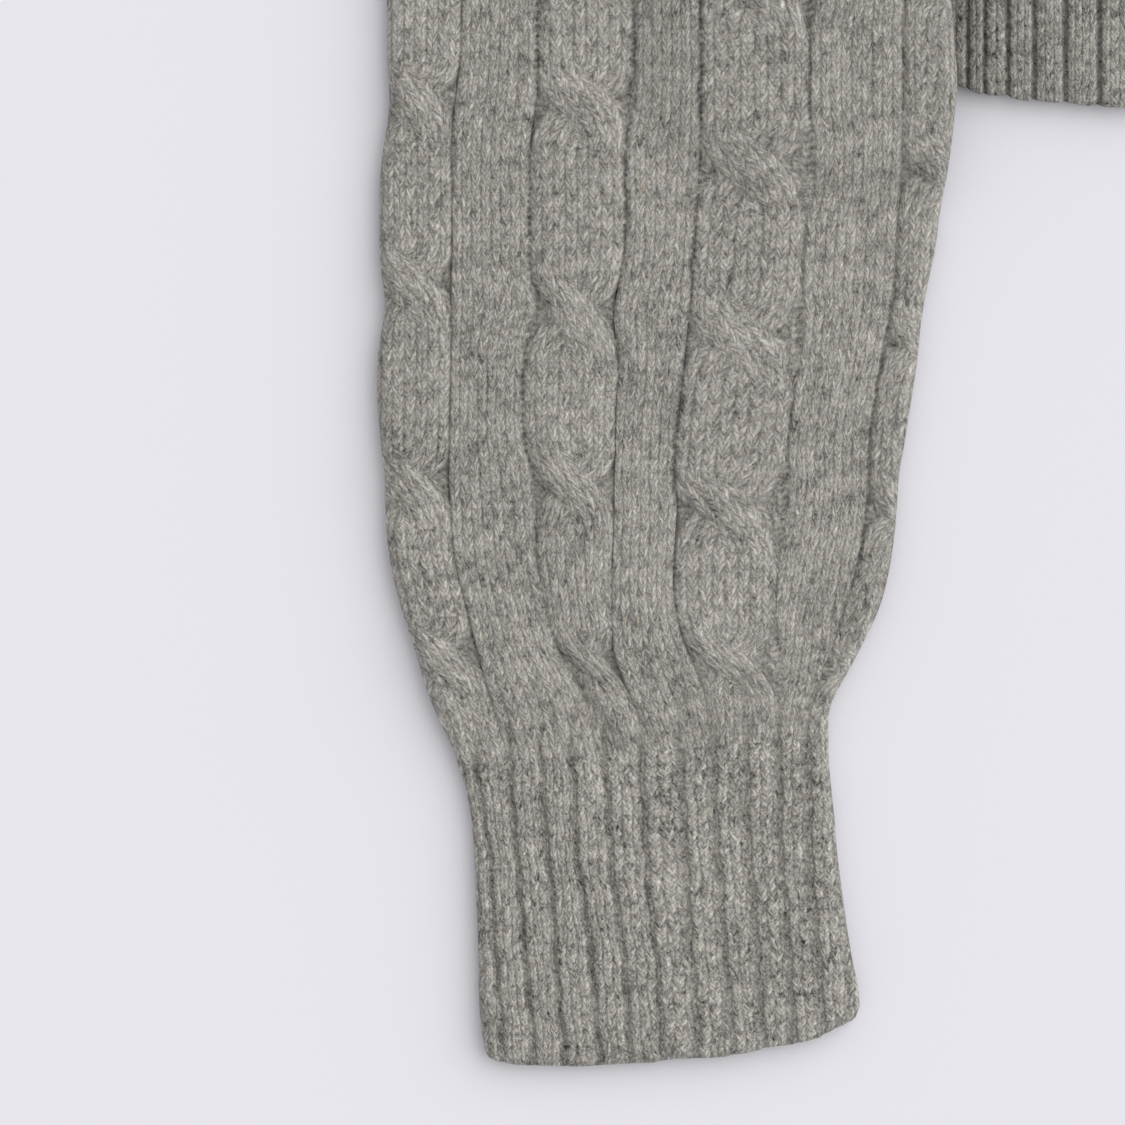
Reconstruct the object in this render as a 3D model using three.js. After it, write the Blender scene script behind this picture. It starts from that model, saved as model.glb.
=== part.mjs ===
// A long-sleeved cable-knit polo shirt, laid flat and face up, with its
// sleeves folded down over its sides. Millimetres, +Z up, +Y towards the
// collar. The body's two panels lie on each other; each sleeve and cuff is a
// flattened tube; the sleeve's base climbs onto the body where it crosses it.
//
// Garment coordinates: x = 0 on the centre front, y = 0 at the lowest point of
// the hem. The finished group is moved so that its origin is at the centre of
// the underside of its bounding box.
import * as THREE from "three";

// ---------------------------------------------------------------- sizes (mm)
const GAP = 0.3;              // clear distance between pieces that meet
const WALL = 2.8;             // thickness of the cable knit
const BODY_TOP = 2 * WALL + GAP;          // upper face of the front panel

// body
const HPS = { x: 85, y: 420 };            // high point of the shoulder
const SHOULDER = { x: 200, y: 382 };      // end of the shoulder seam
const ARM_MID = { x: 190, y: 285 };       // the sleeve's fold starts here
const UNDERARM = { x: 220, y: 190 };
const FRONT_NECK_DEPTH = 85;              // below the high point of the shoulder
const BACK_NECK_DEPTH = 17;
const HEM_HEIGHT = 62;                    // ribbed band
const HEM_HALF = 200;                     // half its width
const HEM_RISE = 8;                       // its side corners sit this much higher

// placket: a slit in the front panel with two bands in it, one on the other
const SLIT_HALF = 15;
const SLIT_BOTTOM = 212;
const BAND_WALL = 1.5;
const BAND_TOP_Y = HPS.y - FRONT_NECK_DEPTH - GAP;
const BUTTON_R = 5.75;
const BUTTON_THICK = 2.2;
const BUTTON_Y = [318 - 46, 318 - 46 - 24, 318 - 46 - 48];   // 272, 248, 224

// collar
const COLLAR_WALL = 1.7;
const COLLAR_STAND = 33;                  // at the centre back
const COLLAR_STAND_FRONT = 7;             // where it ends at the placket
const COLLAR_DEPTH = 68;                  // whole width of the knitted strip
const COLLAR_BEND = 1.05;                 // radius of the fold's middle line
const COLLAR_Z_BACK = COLLAR_WALL / 2 + 2 * COLLAR_BEND;   // mid-height of the stand's back run
const COLLAR_Z_FRONT = COLLAR_Z_BACK + 2.5 + 0.25;                // and of its front run

// sleeve: a tube of WALL, pressed flat
const SLEEVE_THICK = 6.6;
const SLEEVE_OVER_BODY = BODY_TOP + 2.2 * GAP;  // height of its underside there, clear of the body between rings too
const RAMP_START = 31;                    // it leaves the surface this far out
const RAMP_END = 12;                      // and is up at this distance
const GATHER_PUFF = 1.4;                  // extra height above the cuff
const PLEAT = 0.55;                       // half-height of the gathers

// cuff: a ribbed tube, pressed flat and turned a little
const CUFF_WALL = 2.6;
const CUFF_THICK = 6.0;

// Outer and inner fold edges of the sleeve on the -x side, paired from the cuff
// seam up to the armhole.
const SLEEVE_EDGES = [
  [[-269.0, -156.9], [-180.5, -150.3]],
  [[-272.9, -147.6], [-179.8, -141.7]],
  [[-277.4, -135.7], [-176.2, -134.0]],
  [[-281.2, -123.8], [-170.0, -123.8]],
  [[-284.5, -111.9], [-166.2, -111.9]],
  [[-286.2, -94.0], [-164.0, -94.0]],
  [[-287.6, -76.2], [-161.7, -76.2]],
  [[-287.9, -58.3], [-159.0, -58.3]],
  [[-287.1, -40.5], [-156.4, -40.5]],
  [[-286.2, -4.8], [-151.0, -4.8]],
  [[-285.9, 13.0], [-150.0, 13.0]],
  [[-286.2, 32.0], [-148.7, 32.0]],
  [[-287.6, 64.0], [-145.8, 64.0]],
  [[-289.0, 102.0], [-142.3, 102.0]],
  [[-289.4, 145.0], [-139.7, 145.0]],
  [[-288.0, 190.0], [-140.8, 185.0]],
  [[-286.4, 212.0], [-143.2, 202.0]],
  [[-283.4, 235.0], [-148.0, 220.0]],
  [[-274.0, 280.0], [-160.0, 247.0]],
  [[-258.5, 319.0], [-173.0, 266.5]],
  [[-237.0, 352.5], [-182.0, 278.0]],
  [[-219.0, 371.0], [-187.2, 283.0]],
  [[-200.6, 382.3], [-190.4, 285.0]],
];
// Cuff corners on the same side: seam left and right, end left and right.
const CUFF = { sl: [-269.0, -157.2], sr: [-180.5, -150.6], el: [-263.6, -229.3], er: [-173.1, -221.2] };

// ------------------------------------------------------------------ materials
const wool = () => new THREE.MeshStandardMaterial({ color: 0x93908b, roughness: 0.95, metalness: 0 });
const rib = () => new THREE.MeshStandardMaterial({ color: 0x8b8883, roughness: 0.95, metalness: 0 });
const horn = () => new THREE.MeshStandardMaterial({ color: 0x5c5854, roughness: 0.45, metalness: 0 });

// -------------------------------------------------------------------- helpers
const mix = (a, b, t) => a + (b - a) * t;
const clamp01 = (t) => Math.min(1, Math.max(0, t));
const smooth = (t) => { const c = clamp01(t); return c * c * (3 - 2 * c); };

// One closed body from points and triangles, turned so its faces point out.
function bodyOf(points, triangles) {
  let volume = 0;
  for (const [a, b, c] of triangles) {
    const [p, q, r] = [points[a], points[b], points[c]];
    volume += p[0] * (q[1] * r[2] - q[2] * r[1])
      + p[1] * (q[2] * r[0] - q[0] * r[2])
      + p[2] * (q[0] * r[1] - q[1] * r[0]);
  }
  const index = triangles.flatMap(([a, b, c]) => (volume > 0 ? [a, b, c] : [a, c, b]));
  const geometry = new THREE.BufferGeometry();
  geometry.setAttribute("position", new THREE.Float32BufferAttribute(points.flat(), 3));
  geometry.setIndex(index);
  geometry.computeVertexNormals();
  return geometry;
}

// A tube wall: a loft through the outer rings, one through the inner rings, and
// a rim at each end.
function tubeWall(outer, inner) {
  const rings = outer.length;
  const n = outer[0].length;
  const points = [...outer.flat(), ...inner.flat()];
  const o = (i, j) => i * n + (j % n);
  const k = (i, j) => rings * n + i * n + (j % n);
  const triangles = [];
  const quad = (a, b, c, d) => triangles.push([a, b, c], [a, c, d]);
  for (let i = 0; i < rings - 1; i++) {
    for (let j = 0; j < n; j++) {
      quad(o(i, j), o(i + 1, j), o(i + 1, j + 1), o(i, j + 1));
      quad(k(i, j), k(i, j + 1), k(i + 1, j + 1), k(i + 1, j));
    }
  }
  for (let j = 0; j < n; j++) {
    quad(o(0, j), o(0, j + 1), k(0, j + 1), k(0, j));
    quad(o(rings - 1, j), k(rings - 1, j), k(rings - 1, j + 1), o(rings - 1, j + 1));
  }
  return bodyOf(points, triangles);
}

// A solid swept through sections of the same closed outline. The end sections
// are closed by strips of triangles between the paired outline points given.
function sweptWall(sections, pairs) {
  const n = sections[0].length;
  const last = (sections.length - 1) * n;
  const triangles = [];
  for (let i = 0; i < sections.length - 1; i++) {
    for (let j = 0; j < n; j++) {
      const a = i * n + j, b = i * n + ((j + 1) % n);
      triangles.push([a, a + n, b + n], [a, b + n, b]);
    }
  }
  for (let i = 0; i < pairs.length - 1; i++) {
    const [a, b] = pairs[i], [c, d] = pairs[i + 1];
    for (const [p, q, r] of b === d ? [[a, c, b]] : [[a, c, d], [a, d, b]]) {
      triangles.push([p, q, r], [last + p, last + r, last + q]);
    }
  }
  return bodyOf(sections.flat(), triangles);
}

// A flat panel between two heights, from its outline.
function plate(outline, z0, z1, holes = []) {
  const shape = new THREE.Shape(outline.map(([x, y]) => new THREE.Vector2(x, y)));
  for (const hole of holes) shape.holes.push(new THREE.Path(hole.map(([x, y]) => new THREE.Vector2(x, y))));
  const geometry = new THREE.ExtrudeGeometry(shape, { depth: z1 - z0, bevelEnabled: false, steps: 1 });
  geometry.translate(0, 0, z0);
  return geometry;
}

// --------------------------------------------------------------- body outline
const hemRise = (x) => HEM_RISE * Math.pow(clamp01((Math.abs(x) - 110) / 95), 1.6);
const hemTop = (x) => HEM_HEIGHT + 0.6 * hemRise(x);

function armhole(n = 6) {                 // +x side, from the underarm up
  const c = new THREE.CatmullRomCurve3([
    [UNDERARM.x, UNDERARM.y], [208, 208], [198, 234], [192.5, 262], [ARM_MID.x, ARM_MID.y],
  ].map(([x, y]) => new THREE.Vector3(x, y, 0)));
  const points = c.getPoints(n).map((p) => [p.x, p.y]);
  points.push([SHOULDER.x, SHOULDER.y]);
  return points;
}
const frontNeck = (n = 14) => {            // from the +x shoulder round to -x
  const points = [];
  for (let i = 0; i <= n; i++) {
    const a = Math.PI * i / n;
    points.push([HPS.x * Math.cos(a), HPS.y - FRONT_NECK_DEPTH * Math.sin(a)]);
  }
  return points;
};
const backNeckY = (x) => HPS.y - BACK_NECK_DEPTH * (1 - Math.pow(Math.abs(x) / HPS.x, 2.4));
const side = () => [[203, hemTop(203) + 1.2 * GAP], [209, 92], [214.5, 130], [218.5, 165]];

function panelOutline(neck) {
  const bottom = [];
  for (let i = 0; i <= 12; i++) {
    const x = mix(-203, 203, i / 12);
    bottom.push([x, hemTop(x) + 1.2 * GAP]);
  }
  const right = [...side().slice(1), ...armhole()];
  const left = right.map(([x, y]) => [-x, y]).reverse();
  return [...bottom, ...right, ...neck, ...left];
}

function frontOutline() {
  // The neck curve is cut by the slit: down one side of it and up the other.
  const curve = frontNeck(16);
  const at = (x) => HPS.y - FRONT_NECK_DEPTH * Math.sqrt(1 - (x / HPS.x) ** 2);
  const neck = [
    ...curve.filter(([x]) => x > SLIT_HALF + 1),
    [SLIT_HALF, at(SLIT_HALF)], [SLIT_HALF, SLIT_BOTTOM],
    [-SLIT_HALF, SLIT_BOTTOM], [-SLIT_HALF, at(SLIT_HALF)],
    ...curve.filter(([x]) => x < -SLIT_HALF - 1),
  ];
  return panelOutline(neck);
}

function backOutline() {
  const neck = [];
  for (let i = 0; i <= 12; i++) {
    const x = mix(HPS.x, -HPS.x, i / 12);
    neck.push([x, backNeckY(x)]);
  }
  return panelOutline(neck);
}

function hemOutline() {
  const low = [], high = [];
  for (let i = 0; i <= 20; i++) {
    const t = i / 20;
    const xl = mix(-HEM_HALF, HEM_HALF, t);
    low.push([xl, hemRise(xl)]);
    const xh = mix(-203, 203, t);
    high.push([xh, hemTop(xh)]);
  }
  return [...low, ...high.reverse()];
}

// ------------------------------------------------------------ sleeve and cuff
// Distance from a point outside the body to the body's edge; negative inside.
const EDGE = (() => {
  const half = [[0, 0], ...[[60, 0], [110, 0], [155, hemRise(155)], [HEM_HALF, hemRise(HEM_HALF)]],
    ...side(), ...armhole(), [HPS.x, HPS.y], [0, HPS.y]];
  return half;
})();
function outsideBody(x, y) {
  const px = Math.abs(x);
  let best = Infinity, inside = false;
  for (let i = 0, j = EDGE.length - 1; i < EDGE.length; j = i++) {
    const [ax, ay] = EDGE[j], [bx, by] = EDGE[i];
    const dx = bx - ax, dy = by - ay;
    const t = clamp01(((px - ax) * dx + (y - ay) * dy) / (dx * dx + dy * dy || 1));
    if (!(ax === 0 && bx === 0)) best = Math.min(best, Math.hypot(px - ax - t * dx, y - ay - t * dy));
    if ((ay > y) !== (by > y) && px < (dx * (y - ay)) / dy + ax) inside = !inside;
  }
  return inside ? -best : best;
}
// Height of the sleeve's underside over the surface.
function baseHeight(x, y) {
  const up = smooth((RAMP_START - outsideBody(x, y)) / (RAMP_START - RAMP_END));
  const atSeam = smooth((SHOULDER.y - 6 - y) / (SHOULDER.y - 6 - ARM_MID.y));
  return SLEEVE_OVER_BODY * up * atSeam;
}

// One pair of rings, outer and inner, of a flattened tube between two edge
// points: over the top from left to right and back along the underside.
function flatRing([lx, ly], [rx, ry], thick, wall, across, base, crest) {
  const width = Math.hypot(rx - lx, ry - ly);
  const ux = (rx - lx) / width, uy = (ry - ly) / width;
  const r = thick / 2, slot = thick / 2 - wall;
  const outer = [], inner = [];
  const so = [0.3 * r, r], si = [wall + 0.35 * slot, wall + 1.2 * slot];
  for (let i = 1; i <= across; i++) {
    const s = mix(r, width - r, i / (across + 1));
    so.push(s); si.push(s);
  }
  so.push(width - r, width - 0.3 * r);
  si.push(width - wall - 1.2 * slot, width - wall - 0.35 * slot);
  const at = (s, dz) => {
    const x = lx + ux * s, y = ly + uy * s;
    return [x, y, base(x, y) + thick / 2 + dz];
  };
  const round = (s, rad, from) => {
    const e = Math.min(s - from, width - from - s);
    return e >= rad ? rad : Math.sqrt(Math.max(0, rad * rad - (rad - e) * (rad - e)));
  };
  const m = so.length;
  const lift = so.map((s, k) => crest(s / width, k));
  outer.push(at(0, 0));
  inner.push(at(wall, 0));
  for (let k = 0; k < m; k++) {
    outer.push(at(so[k], round(so[k], r, 0) + lift[k]));
    inner.push(at(si[k], round(si[k], slot, wall) + lift[k]));
  }
  outer.push(at(width, 0));
  inner.push(at(width - wall, 0));
  for (let k = m - 1; k >= 0; k--) {
    outer.push(at(so[k], -round(so[k], r, 0)));
    inner.push(at(si[k], -round(si[k], slot, wall)));
  }
  return { outer, inner };
}

function sleeveGeometry(sign) {
  const outer = [], inner = [];
  SLEEVE_EDGES.forEach(([out, into], i) => {
    // gathers fade out above the cuff
    const y = (out[1] + into[1]) / 2;
    const gather = Math.exp(-(((y + 128) / 34) ** 2)) * (y > -128 ? 1 : 1);
    const crest = (u, k) => {
      const body = Math.sin(Math.PI * clamp01(u));
      const pleat = k > 1 && k < 11 ? (k % 2 ? 1 : -1) * PLEAT * smooth((-60 - y) / 60) : 0;
      return GATHER_PUFF * gather * body * (i > 0 ? 1 : 0.4) + pleat;
    };
    const ring = flatRing(out, into, SLEEVE_THICK, WALL, 9, baseHeight, crest);
    outer.push(ring.outer);
    inner.push(ring.inner);
  });
  const flip = (rings) => rings.map((ring) => ring.map(([x, y, z]) => [sign * -x, y, z]));
  return tubeWall(sign < 0 ? outer : flip(outer), sign < 0 ? inner : flip(inner));
}

function cuffGeometry(sign) {
  const outer = [], inner = [];
  const steps = [0, 0.25, 0.5, 0.75, 0.955, 1];
  for (const t of steps) {
    const inset = t === 1 ? 2.4 : 0;      // rounded end corners
    const l = [mix(CUFF.sl[0], CUFF.el[0], t) + inset, mix(CUFF.sl[1], CUFF.el[1], t)];
    const r = [mix(CUFF.sr[0], CUFF.er[0], t) - inset, mix(CUFF.sr[1], CUFF.er[1], t)];
    const ring = flatRing(l, r, CUFF_THICK, CUFF_WALL, 9, () => 0, () => 0);
    outer.push(ring.outer);
    inner.push(ring.inner);
  }
  const flip = (rings) => rings.map((ring) => ring.map(([x, y, z]) => [sign * -x, y, z]));
  return tubeWall(sign < 0 ? outer : flip(outer), sign < 0 ? inner : flip(inner));
}

// --------------------------------------------------------------------- collar
// The strip stands up from the neck seam, folds over and falls outside it. Laid
// flat, its back run lies with the fall underneath and its front run with the
// fall on top; each section is one folded strip, d along the stand, n from the
// stand to the fall, e along the fall.
function collarGeometry() {
  const half = COLLAR_WALL / 2;
  const bend = COLLAR_BEND;
  const sections = [];
  const add = (c, d, n, e, stand, fall, drop) => {
    const p = (a, b, g = [0, 0, 0], w = 0) => [
      c[0] + d[0] * a + n[0] * b + g[0] * w, c[1] + d[1] * a + n[1] * b + g[1] * w,
      c[2] + d[2] * a + n[2] * b + g[2] * w];
    const ring = [p(0, -half), p(stand * 0.5, -half), p(stand, -half)];
    for (const a of [45, 90, 135]) {
      const t = a * Math.PI / 180, r = bend + half;
      ring.push(p(stand + r * Math.sin(t), bend - r * Math.cos(t)));
    }
    const f = (w, b) => {
      const q = p(stand, 2 * bend + b, e, w);
      q[2] -= drop * w / fall;
      return q;
    };
    ring.push(f(0, half), f(fall / 2, half), f(fall, half), f(fall, -half), f(fall / 2, -half), f(0, -half));
    ring.push(p(stand + bend - half, bend));
    ring.push(p(stand, half), p(stand * 0.5, half), p(0, half));
    sections.push(ring);
  };
  const unit = (x, y) => { const l = Math.hypot(x, y); return [x / l, y / l, 0]; };
  const zMid = (COLLAR_Z_BACK + COLLAR_Z_FRONT) / 2;
  const rTurn = (COLLAR_Z_FRONT - COLLAR_Z_BACK) / 2;

  // half of the loop on the -x side: from the centre front out to the shoulder
  // and back to the centre back; the other half is its mirror image
  const halfLoop = [];
  const fronts = 11;
  for (let i = 0; i <= fronts; i++) {
    const q = i / fronts;                               // 0 at the placket
    const a = mix(86.5, 4, Math.pow(q, 0.9)) * Math.PI / 180;
    const inset = GAP + 0.4;
    const c = [-(HPS.x - inset) * Math.cos(a), HPS.y + GAP - (FRONT_NECK_DEPTH - inset) * Math.sin(a), COLLAR_Z_FRONT];
    const stand = mix(COLLAR_STAND_FRONT, COLLAR_STAND, Math.pow(q, 1.25));
    const d = unit(mix(0.25, -0.02, q), 1);
    // the fall points down and out at the placket, out over the chest, and
    // straight down at the shoulder
    const angle = mix(mix(233, 208, smooth(q * 1.25)), 262, Math.pow(clamp01((q - 0.45) / 0.55), 1.6)) * Math.PI / 180;
    const e = [Math.cos(angle), Math.sin(angle), 0];
    halfLoop.push([c, d, [0, 0, 1], e, stand, COLLAR_DEPTH - stand - 2, 0.6 * (1 - q)]);
  }
  for (const turn of [60, 25, 0, -25, -60]) {           // over the shoulder
    const t = turn * Math.PI / 180;
    const n = [-Math.cos(t), 0, Math.sin(t)];
    const c = [-HPS.x + 1.5 + n[0] * rTurn, HPS.y + GAP + 0.35, zMid + n[2] * rTurn];
    halfLoop.push([c, [0, 1, 0], n, [0, -1, 0], COLLAR_STAND, COLLAR_STAND, 0]);
  }
  for (let i = 0; i <= 6; i++) {
    const x = -mix(HPS.x - 1.5, 0, i / 6);
    const c = [x, backNeckY(x) + GAP + 0.1, COLLAR_Z_BACK];
    halfLoop.push([c, [0, 1, 0], [0, 0, -1], [0, -1, 0], COLLAR_STAND, COLLAR_STAND - 0.2, 0]);
  }
  for (const s of halfLoop) add(...s);
  const m = ([x, y, z]) => [-x, y, z];
  for (const [c, d, n, e, stand, fall, drop] of halfLoop.slice(0, -1).reverse()) {
    add(m(c), m(d), m(n), m(e), stand, fall, drop);
  }
  // across the wall, from the stand's base over the fold to the fall's edge
  return sweptWall(sections,
    [[0, 15], [1, 14], [2, 13], [3, 12], [4, 12], [5, 12], [6, 11], [7, 10], [8, 9]]);
}

// --------------------------------------------------------------------- button
function buttonGeometry(y, z) {
  const bevel = 0.45;
  const circle = (cx, cy, r, n, turn = 1) => Array.from({ length: n }, (_, i) => {
    const a = turn * 2 * Math.PI * (i + 0.5) / n;
    return new THREE.Vector2(cx + r * Math.cos(a), cy + r * Math.sin(a));
  });
  const shape = new THREE.Shape(circle(0, 0, BUTTON_R - bevel * 0.5, 24));
  for (const [hx, hy] of [[1.45, 1.45], [-1.45, 1.45], [-1.45, -1.45], [1.45, -1.45]]) {
    shape.holes.push(new THREE.Path(circle(hx, hy, 0.75 + bevel * 0.5, 6, -1)));
  }
  const geometry = new THREE.ExtrudeGeometry(shape, {
    depth: BUTTON_THICK - 2 * bevel, bevelEnabled: true, bevelThickness: bevel,
    bevelSize: bevel * 0.5, bevelSegments: 1,
  });
  geometry.translate(0, y, z + bevel);
  return geometry;
}

// ------------------------------------------------------------------- assembly
const shirt = new THREE.Group();
const add = (name, geometry, material) => {
  const mesh = new THREE.Mesh(geometry, material);
  mesh.name = name;
  shirt.add(mesh);
};

add("back_panel", plate(backOutline(), 0, WALL), wool());
add("front_panel", plate(frontOutline(), WALL + GAP, BODY_TOP), wool());
add("hem_back", plate(hemOutline(), 0, WALL), rib());
add("hem_front", plate(hemOutline(), WALL + GAP, BODY_TOP), rib());
add("sleeve_right", sleeveGeometry(-1), wool());
add("sleeve_left", sleeveGeometry(1), wool());
add("cuff_right", cuffGeometry(-1), rib());
add("cuff_left", cuffGeometry(1), rib());
add("collar", collarGeometry(), rib());

const bandOutline = (grow) => [
  [-SLIT_HALF + GAP, SLIT_BOTTOM + GAP], [SLIT_HALF - GAP, SLIT_BOTTOM + GAP],
  [SLIT_HALF - GAP, BAND_TOP_Y - grow], [-SLIT_HALF + GAP, BAND_TOP_Y - grow]];
const BAND_Z = WALL + GAP;
add("placket_under", plate(bandOutline(0), BAND_Z, BAND_Z + BAND_WALL), rib());
add("placket_over", plate(bandOutline(0), BAND_Z + BAND_WALL + GAP, BAND_Z + 2 * BAND_WALL + GAP), rib());
const buttonZ = BAND_Z + 2 * BAND_WALL + 2 * GAP;
BUTTON_Y.forEach((y, i) => add(`button_${i + 1}`, buttonGeometry(y, buttonZ), horn()));

// origin at the centre of the underside
const bounds = new THREE.Box3().setFromObject(shirt);
shirt.position.set(0, -(bounds.min.y + bounds.max.y) / 2, -bounds.min.z);

export default shirt;
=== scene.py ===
"""Looks of a knitted polo shirt, laid flat: cable-knit panels and sleeves, ribbed
hem, cuffs and collar, placket with three buttons.

Everything is built in garment millimetres (x = 0 on the centre front, y = 0 at
the bottom of the hem, z = 0 on the surface) and moved into the row frame.
"""
import math

import bpy
import numpy as np
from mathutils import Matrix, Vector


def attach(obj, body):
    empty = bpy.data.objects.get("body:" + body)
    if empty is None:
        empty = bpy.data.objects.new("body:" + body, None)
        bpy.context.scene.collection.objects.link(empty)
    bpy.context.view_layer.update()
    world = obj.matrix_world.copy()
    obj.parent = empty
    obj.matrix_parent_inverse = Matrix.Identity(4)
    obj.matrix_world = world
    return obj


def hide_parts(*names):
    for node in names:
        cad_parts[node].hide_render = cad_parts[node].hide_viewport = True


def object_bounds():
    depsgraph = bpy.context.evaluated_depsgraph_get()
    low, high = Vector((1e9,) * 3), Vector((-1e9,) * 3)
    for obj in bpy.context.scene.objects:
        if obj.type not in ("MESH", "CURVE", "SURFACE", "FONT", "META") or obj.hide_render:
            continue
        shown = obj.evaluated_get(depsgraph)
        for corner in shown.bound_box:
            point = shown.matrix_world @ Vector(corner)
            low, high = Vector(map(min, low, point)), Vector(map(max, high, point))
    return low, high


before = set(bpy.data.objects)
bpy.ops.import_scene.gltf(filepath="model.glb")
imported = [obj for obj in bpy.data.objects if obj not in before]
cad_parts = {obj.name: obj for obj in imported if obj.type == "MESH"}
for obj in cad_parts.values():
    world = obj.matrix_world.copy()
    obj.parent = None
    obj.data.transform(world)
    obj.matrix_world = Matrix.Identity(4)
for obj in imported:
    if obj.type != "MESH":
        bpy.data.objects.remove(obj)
CAD_BOX = [[float(v) for v in corner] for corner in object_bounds()]
Y_OFF = CAD_BOX[0][1] * 1000 + 229.3      # garment y -> row y, in mm

# ------------------------------------------------------------------ sizes, mm
GAP = 0.3
WALL = 2.8
BODY_TOP = 2 * WALL + GAP
HPS = (85.0, 420.0)
SHOULDER = (200.0, 382.0)
FRONT_NECK_DEPTH = 85.0
BACK_NECK_DEPTH = 17.0
HEM_HEIGHT = 62.0
HEM_HALF = 200.0
HEM_RISE = 8.0
SLIT_HALF = 15.0
SLIT_BOTTOM = 212.0
SLEEVE_THICK = 6.6
SLEEVE_OVER_BODY = BODY_TOP + 2.2 * GAP
CUFF_THICK = 6.0
CUFF_WALL = 2.6
WALE = 2.38                                # one stitch across
COURSE = 1.8                               # one stitch along
RIB_COURSE = 1.30                          # the same in the ribs

clamp01 = lambda t: np.clip(t, 0.0, 1.0)


def smooth(t):
    c = clamp01(t)
    return c * c * (3 - 2 * c)


def mix(a, b, t):
    return a + (b - a) * t


def lookup(table, y):
    """Piecewise curve through (y, x) points, eased with a short moving average."""
    ty = np.array([p[0] for p in table], float)
    tx = np.array([p[1] for p in table], float)
    y = np.asarray(y, float)
    return sum(np.interp(y + d, ty, tx) * w for d, w in
               ((-4, .1), (-2, .2), (0, .4), (2, .2), (4, .1)))


# ------------------------------------------------------- body outline helpers
def hem_rise(x):
    return HEM_RISE * clamp01((np.abs(x) - 110) / 95) ** 1.6


def hem_top(x):
    return HEM_HEIGHT + 0.6 * hem_rise(x)


def catmull(points, n):
    """Centripetal Catmull-Rom through the points, n + 1 samples."""
    p = [np.array(q, float) for q in points]
    p = [2 * p[0] - p[1]] + p + [2 * p[-1] - p[-2]]
    out = []
    m = len(p) - 3
    for k in range(n + 1):
        f = k / n * m
        i = min(int(f), m - 1)
        u = f - i
        p0, p1, p2, p3 = p[i:i + 4]
        d = [max(np.linalg.norm(b - a) ** 0.5, 1e-6) for a, b in ((p0, p1), (p1, p2), (p2, p3))]
        t1 = (p1 - p0) / d[0] - (p2 - p0) / (d[0] + d[1]) + (p2 - p1) / d[1]
        t2 = (p2 - p1) / d[1] - (p3 - p1) / (d[1] + d[2]) + (p3 - p2) / d[2]
        t1, t2 = t1 * d[1], t2 * d[1]
        out.append(p1 + t1 * u + (-3 * p1 + 3 * p2 - 2 * t1 - t2) * u ** 2
                   + (2 * p1 - 2 * p2 + t1 + t2) * u ** 3)
    return [tuple(q) for q in out]


ARMHOLE = catmull([(220, 190), (208, 208), (198, 234), (192.5, 262), (190, 285)], 6) + [SHOULDER]
SIDE = [(203, float(hem_top(203)) + GAP), (209, 92), (214.5, 130), (218.5, 165)]
EDGE = np.array([(0, 0), (60, 0), (110, 0), (155, float(hem_rise(155))),
                 (HEM_HALF, float(hem_rise(HEM_HALF)))] + SIDE + ARMHOLE + [HPS, (0, HPS[1])], float)


def outside_body(x, y):
    """Distance from points to the body's edge, negative inside it."""
    px = np.abs(x)
    best = np.full(px.shape, 1e9)
    inside = np.zeros(px.shape, bool)
    j = len(EDGE) - 1
    for i in range(len(EDGE)):
        (ax, ay), (bx, by) = EDGE[j], EDGE[i]
        dx, dy = bx - ax, by - ay
        t = clamp01(((px - ax) * dx + (y - ay) * dy) / ((dx * dx + dy * dy) or 1))
        if not (ax == 0 and bx == 0):
            best = np.minimum(best, np.hypot(px - ax - t * dx, y - ay - t * dy))
        if dy != 0:
            inside ^= ((ay > y) != (by > y)) & (px < dx * (y - ay) / dy + ax)
        j = i
    return np.where(inside, -best, best)


def base_height(x, y):
    up = smooth((31 - outside_body(x, y)) / 19)
    at_seam = smooth((SHOULDER[1] - 6 - y) / (SHOULDER[1] - 6 - 285))
    return SLEEVE_OVER_BODY * up * at_seam


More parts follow.
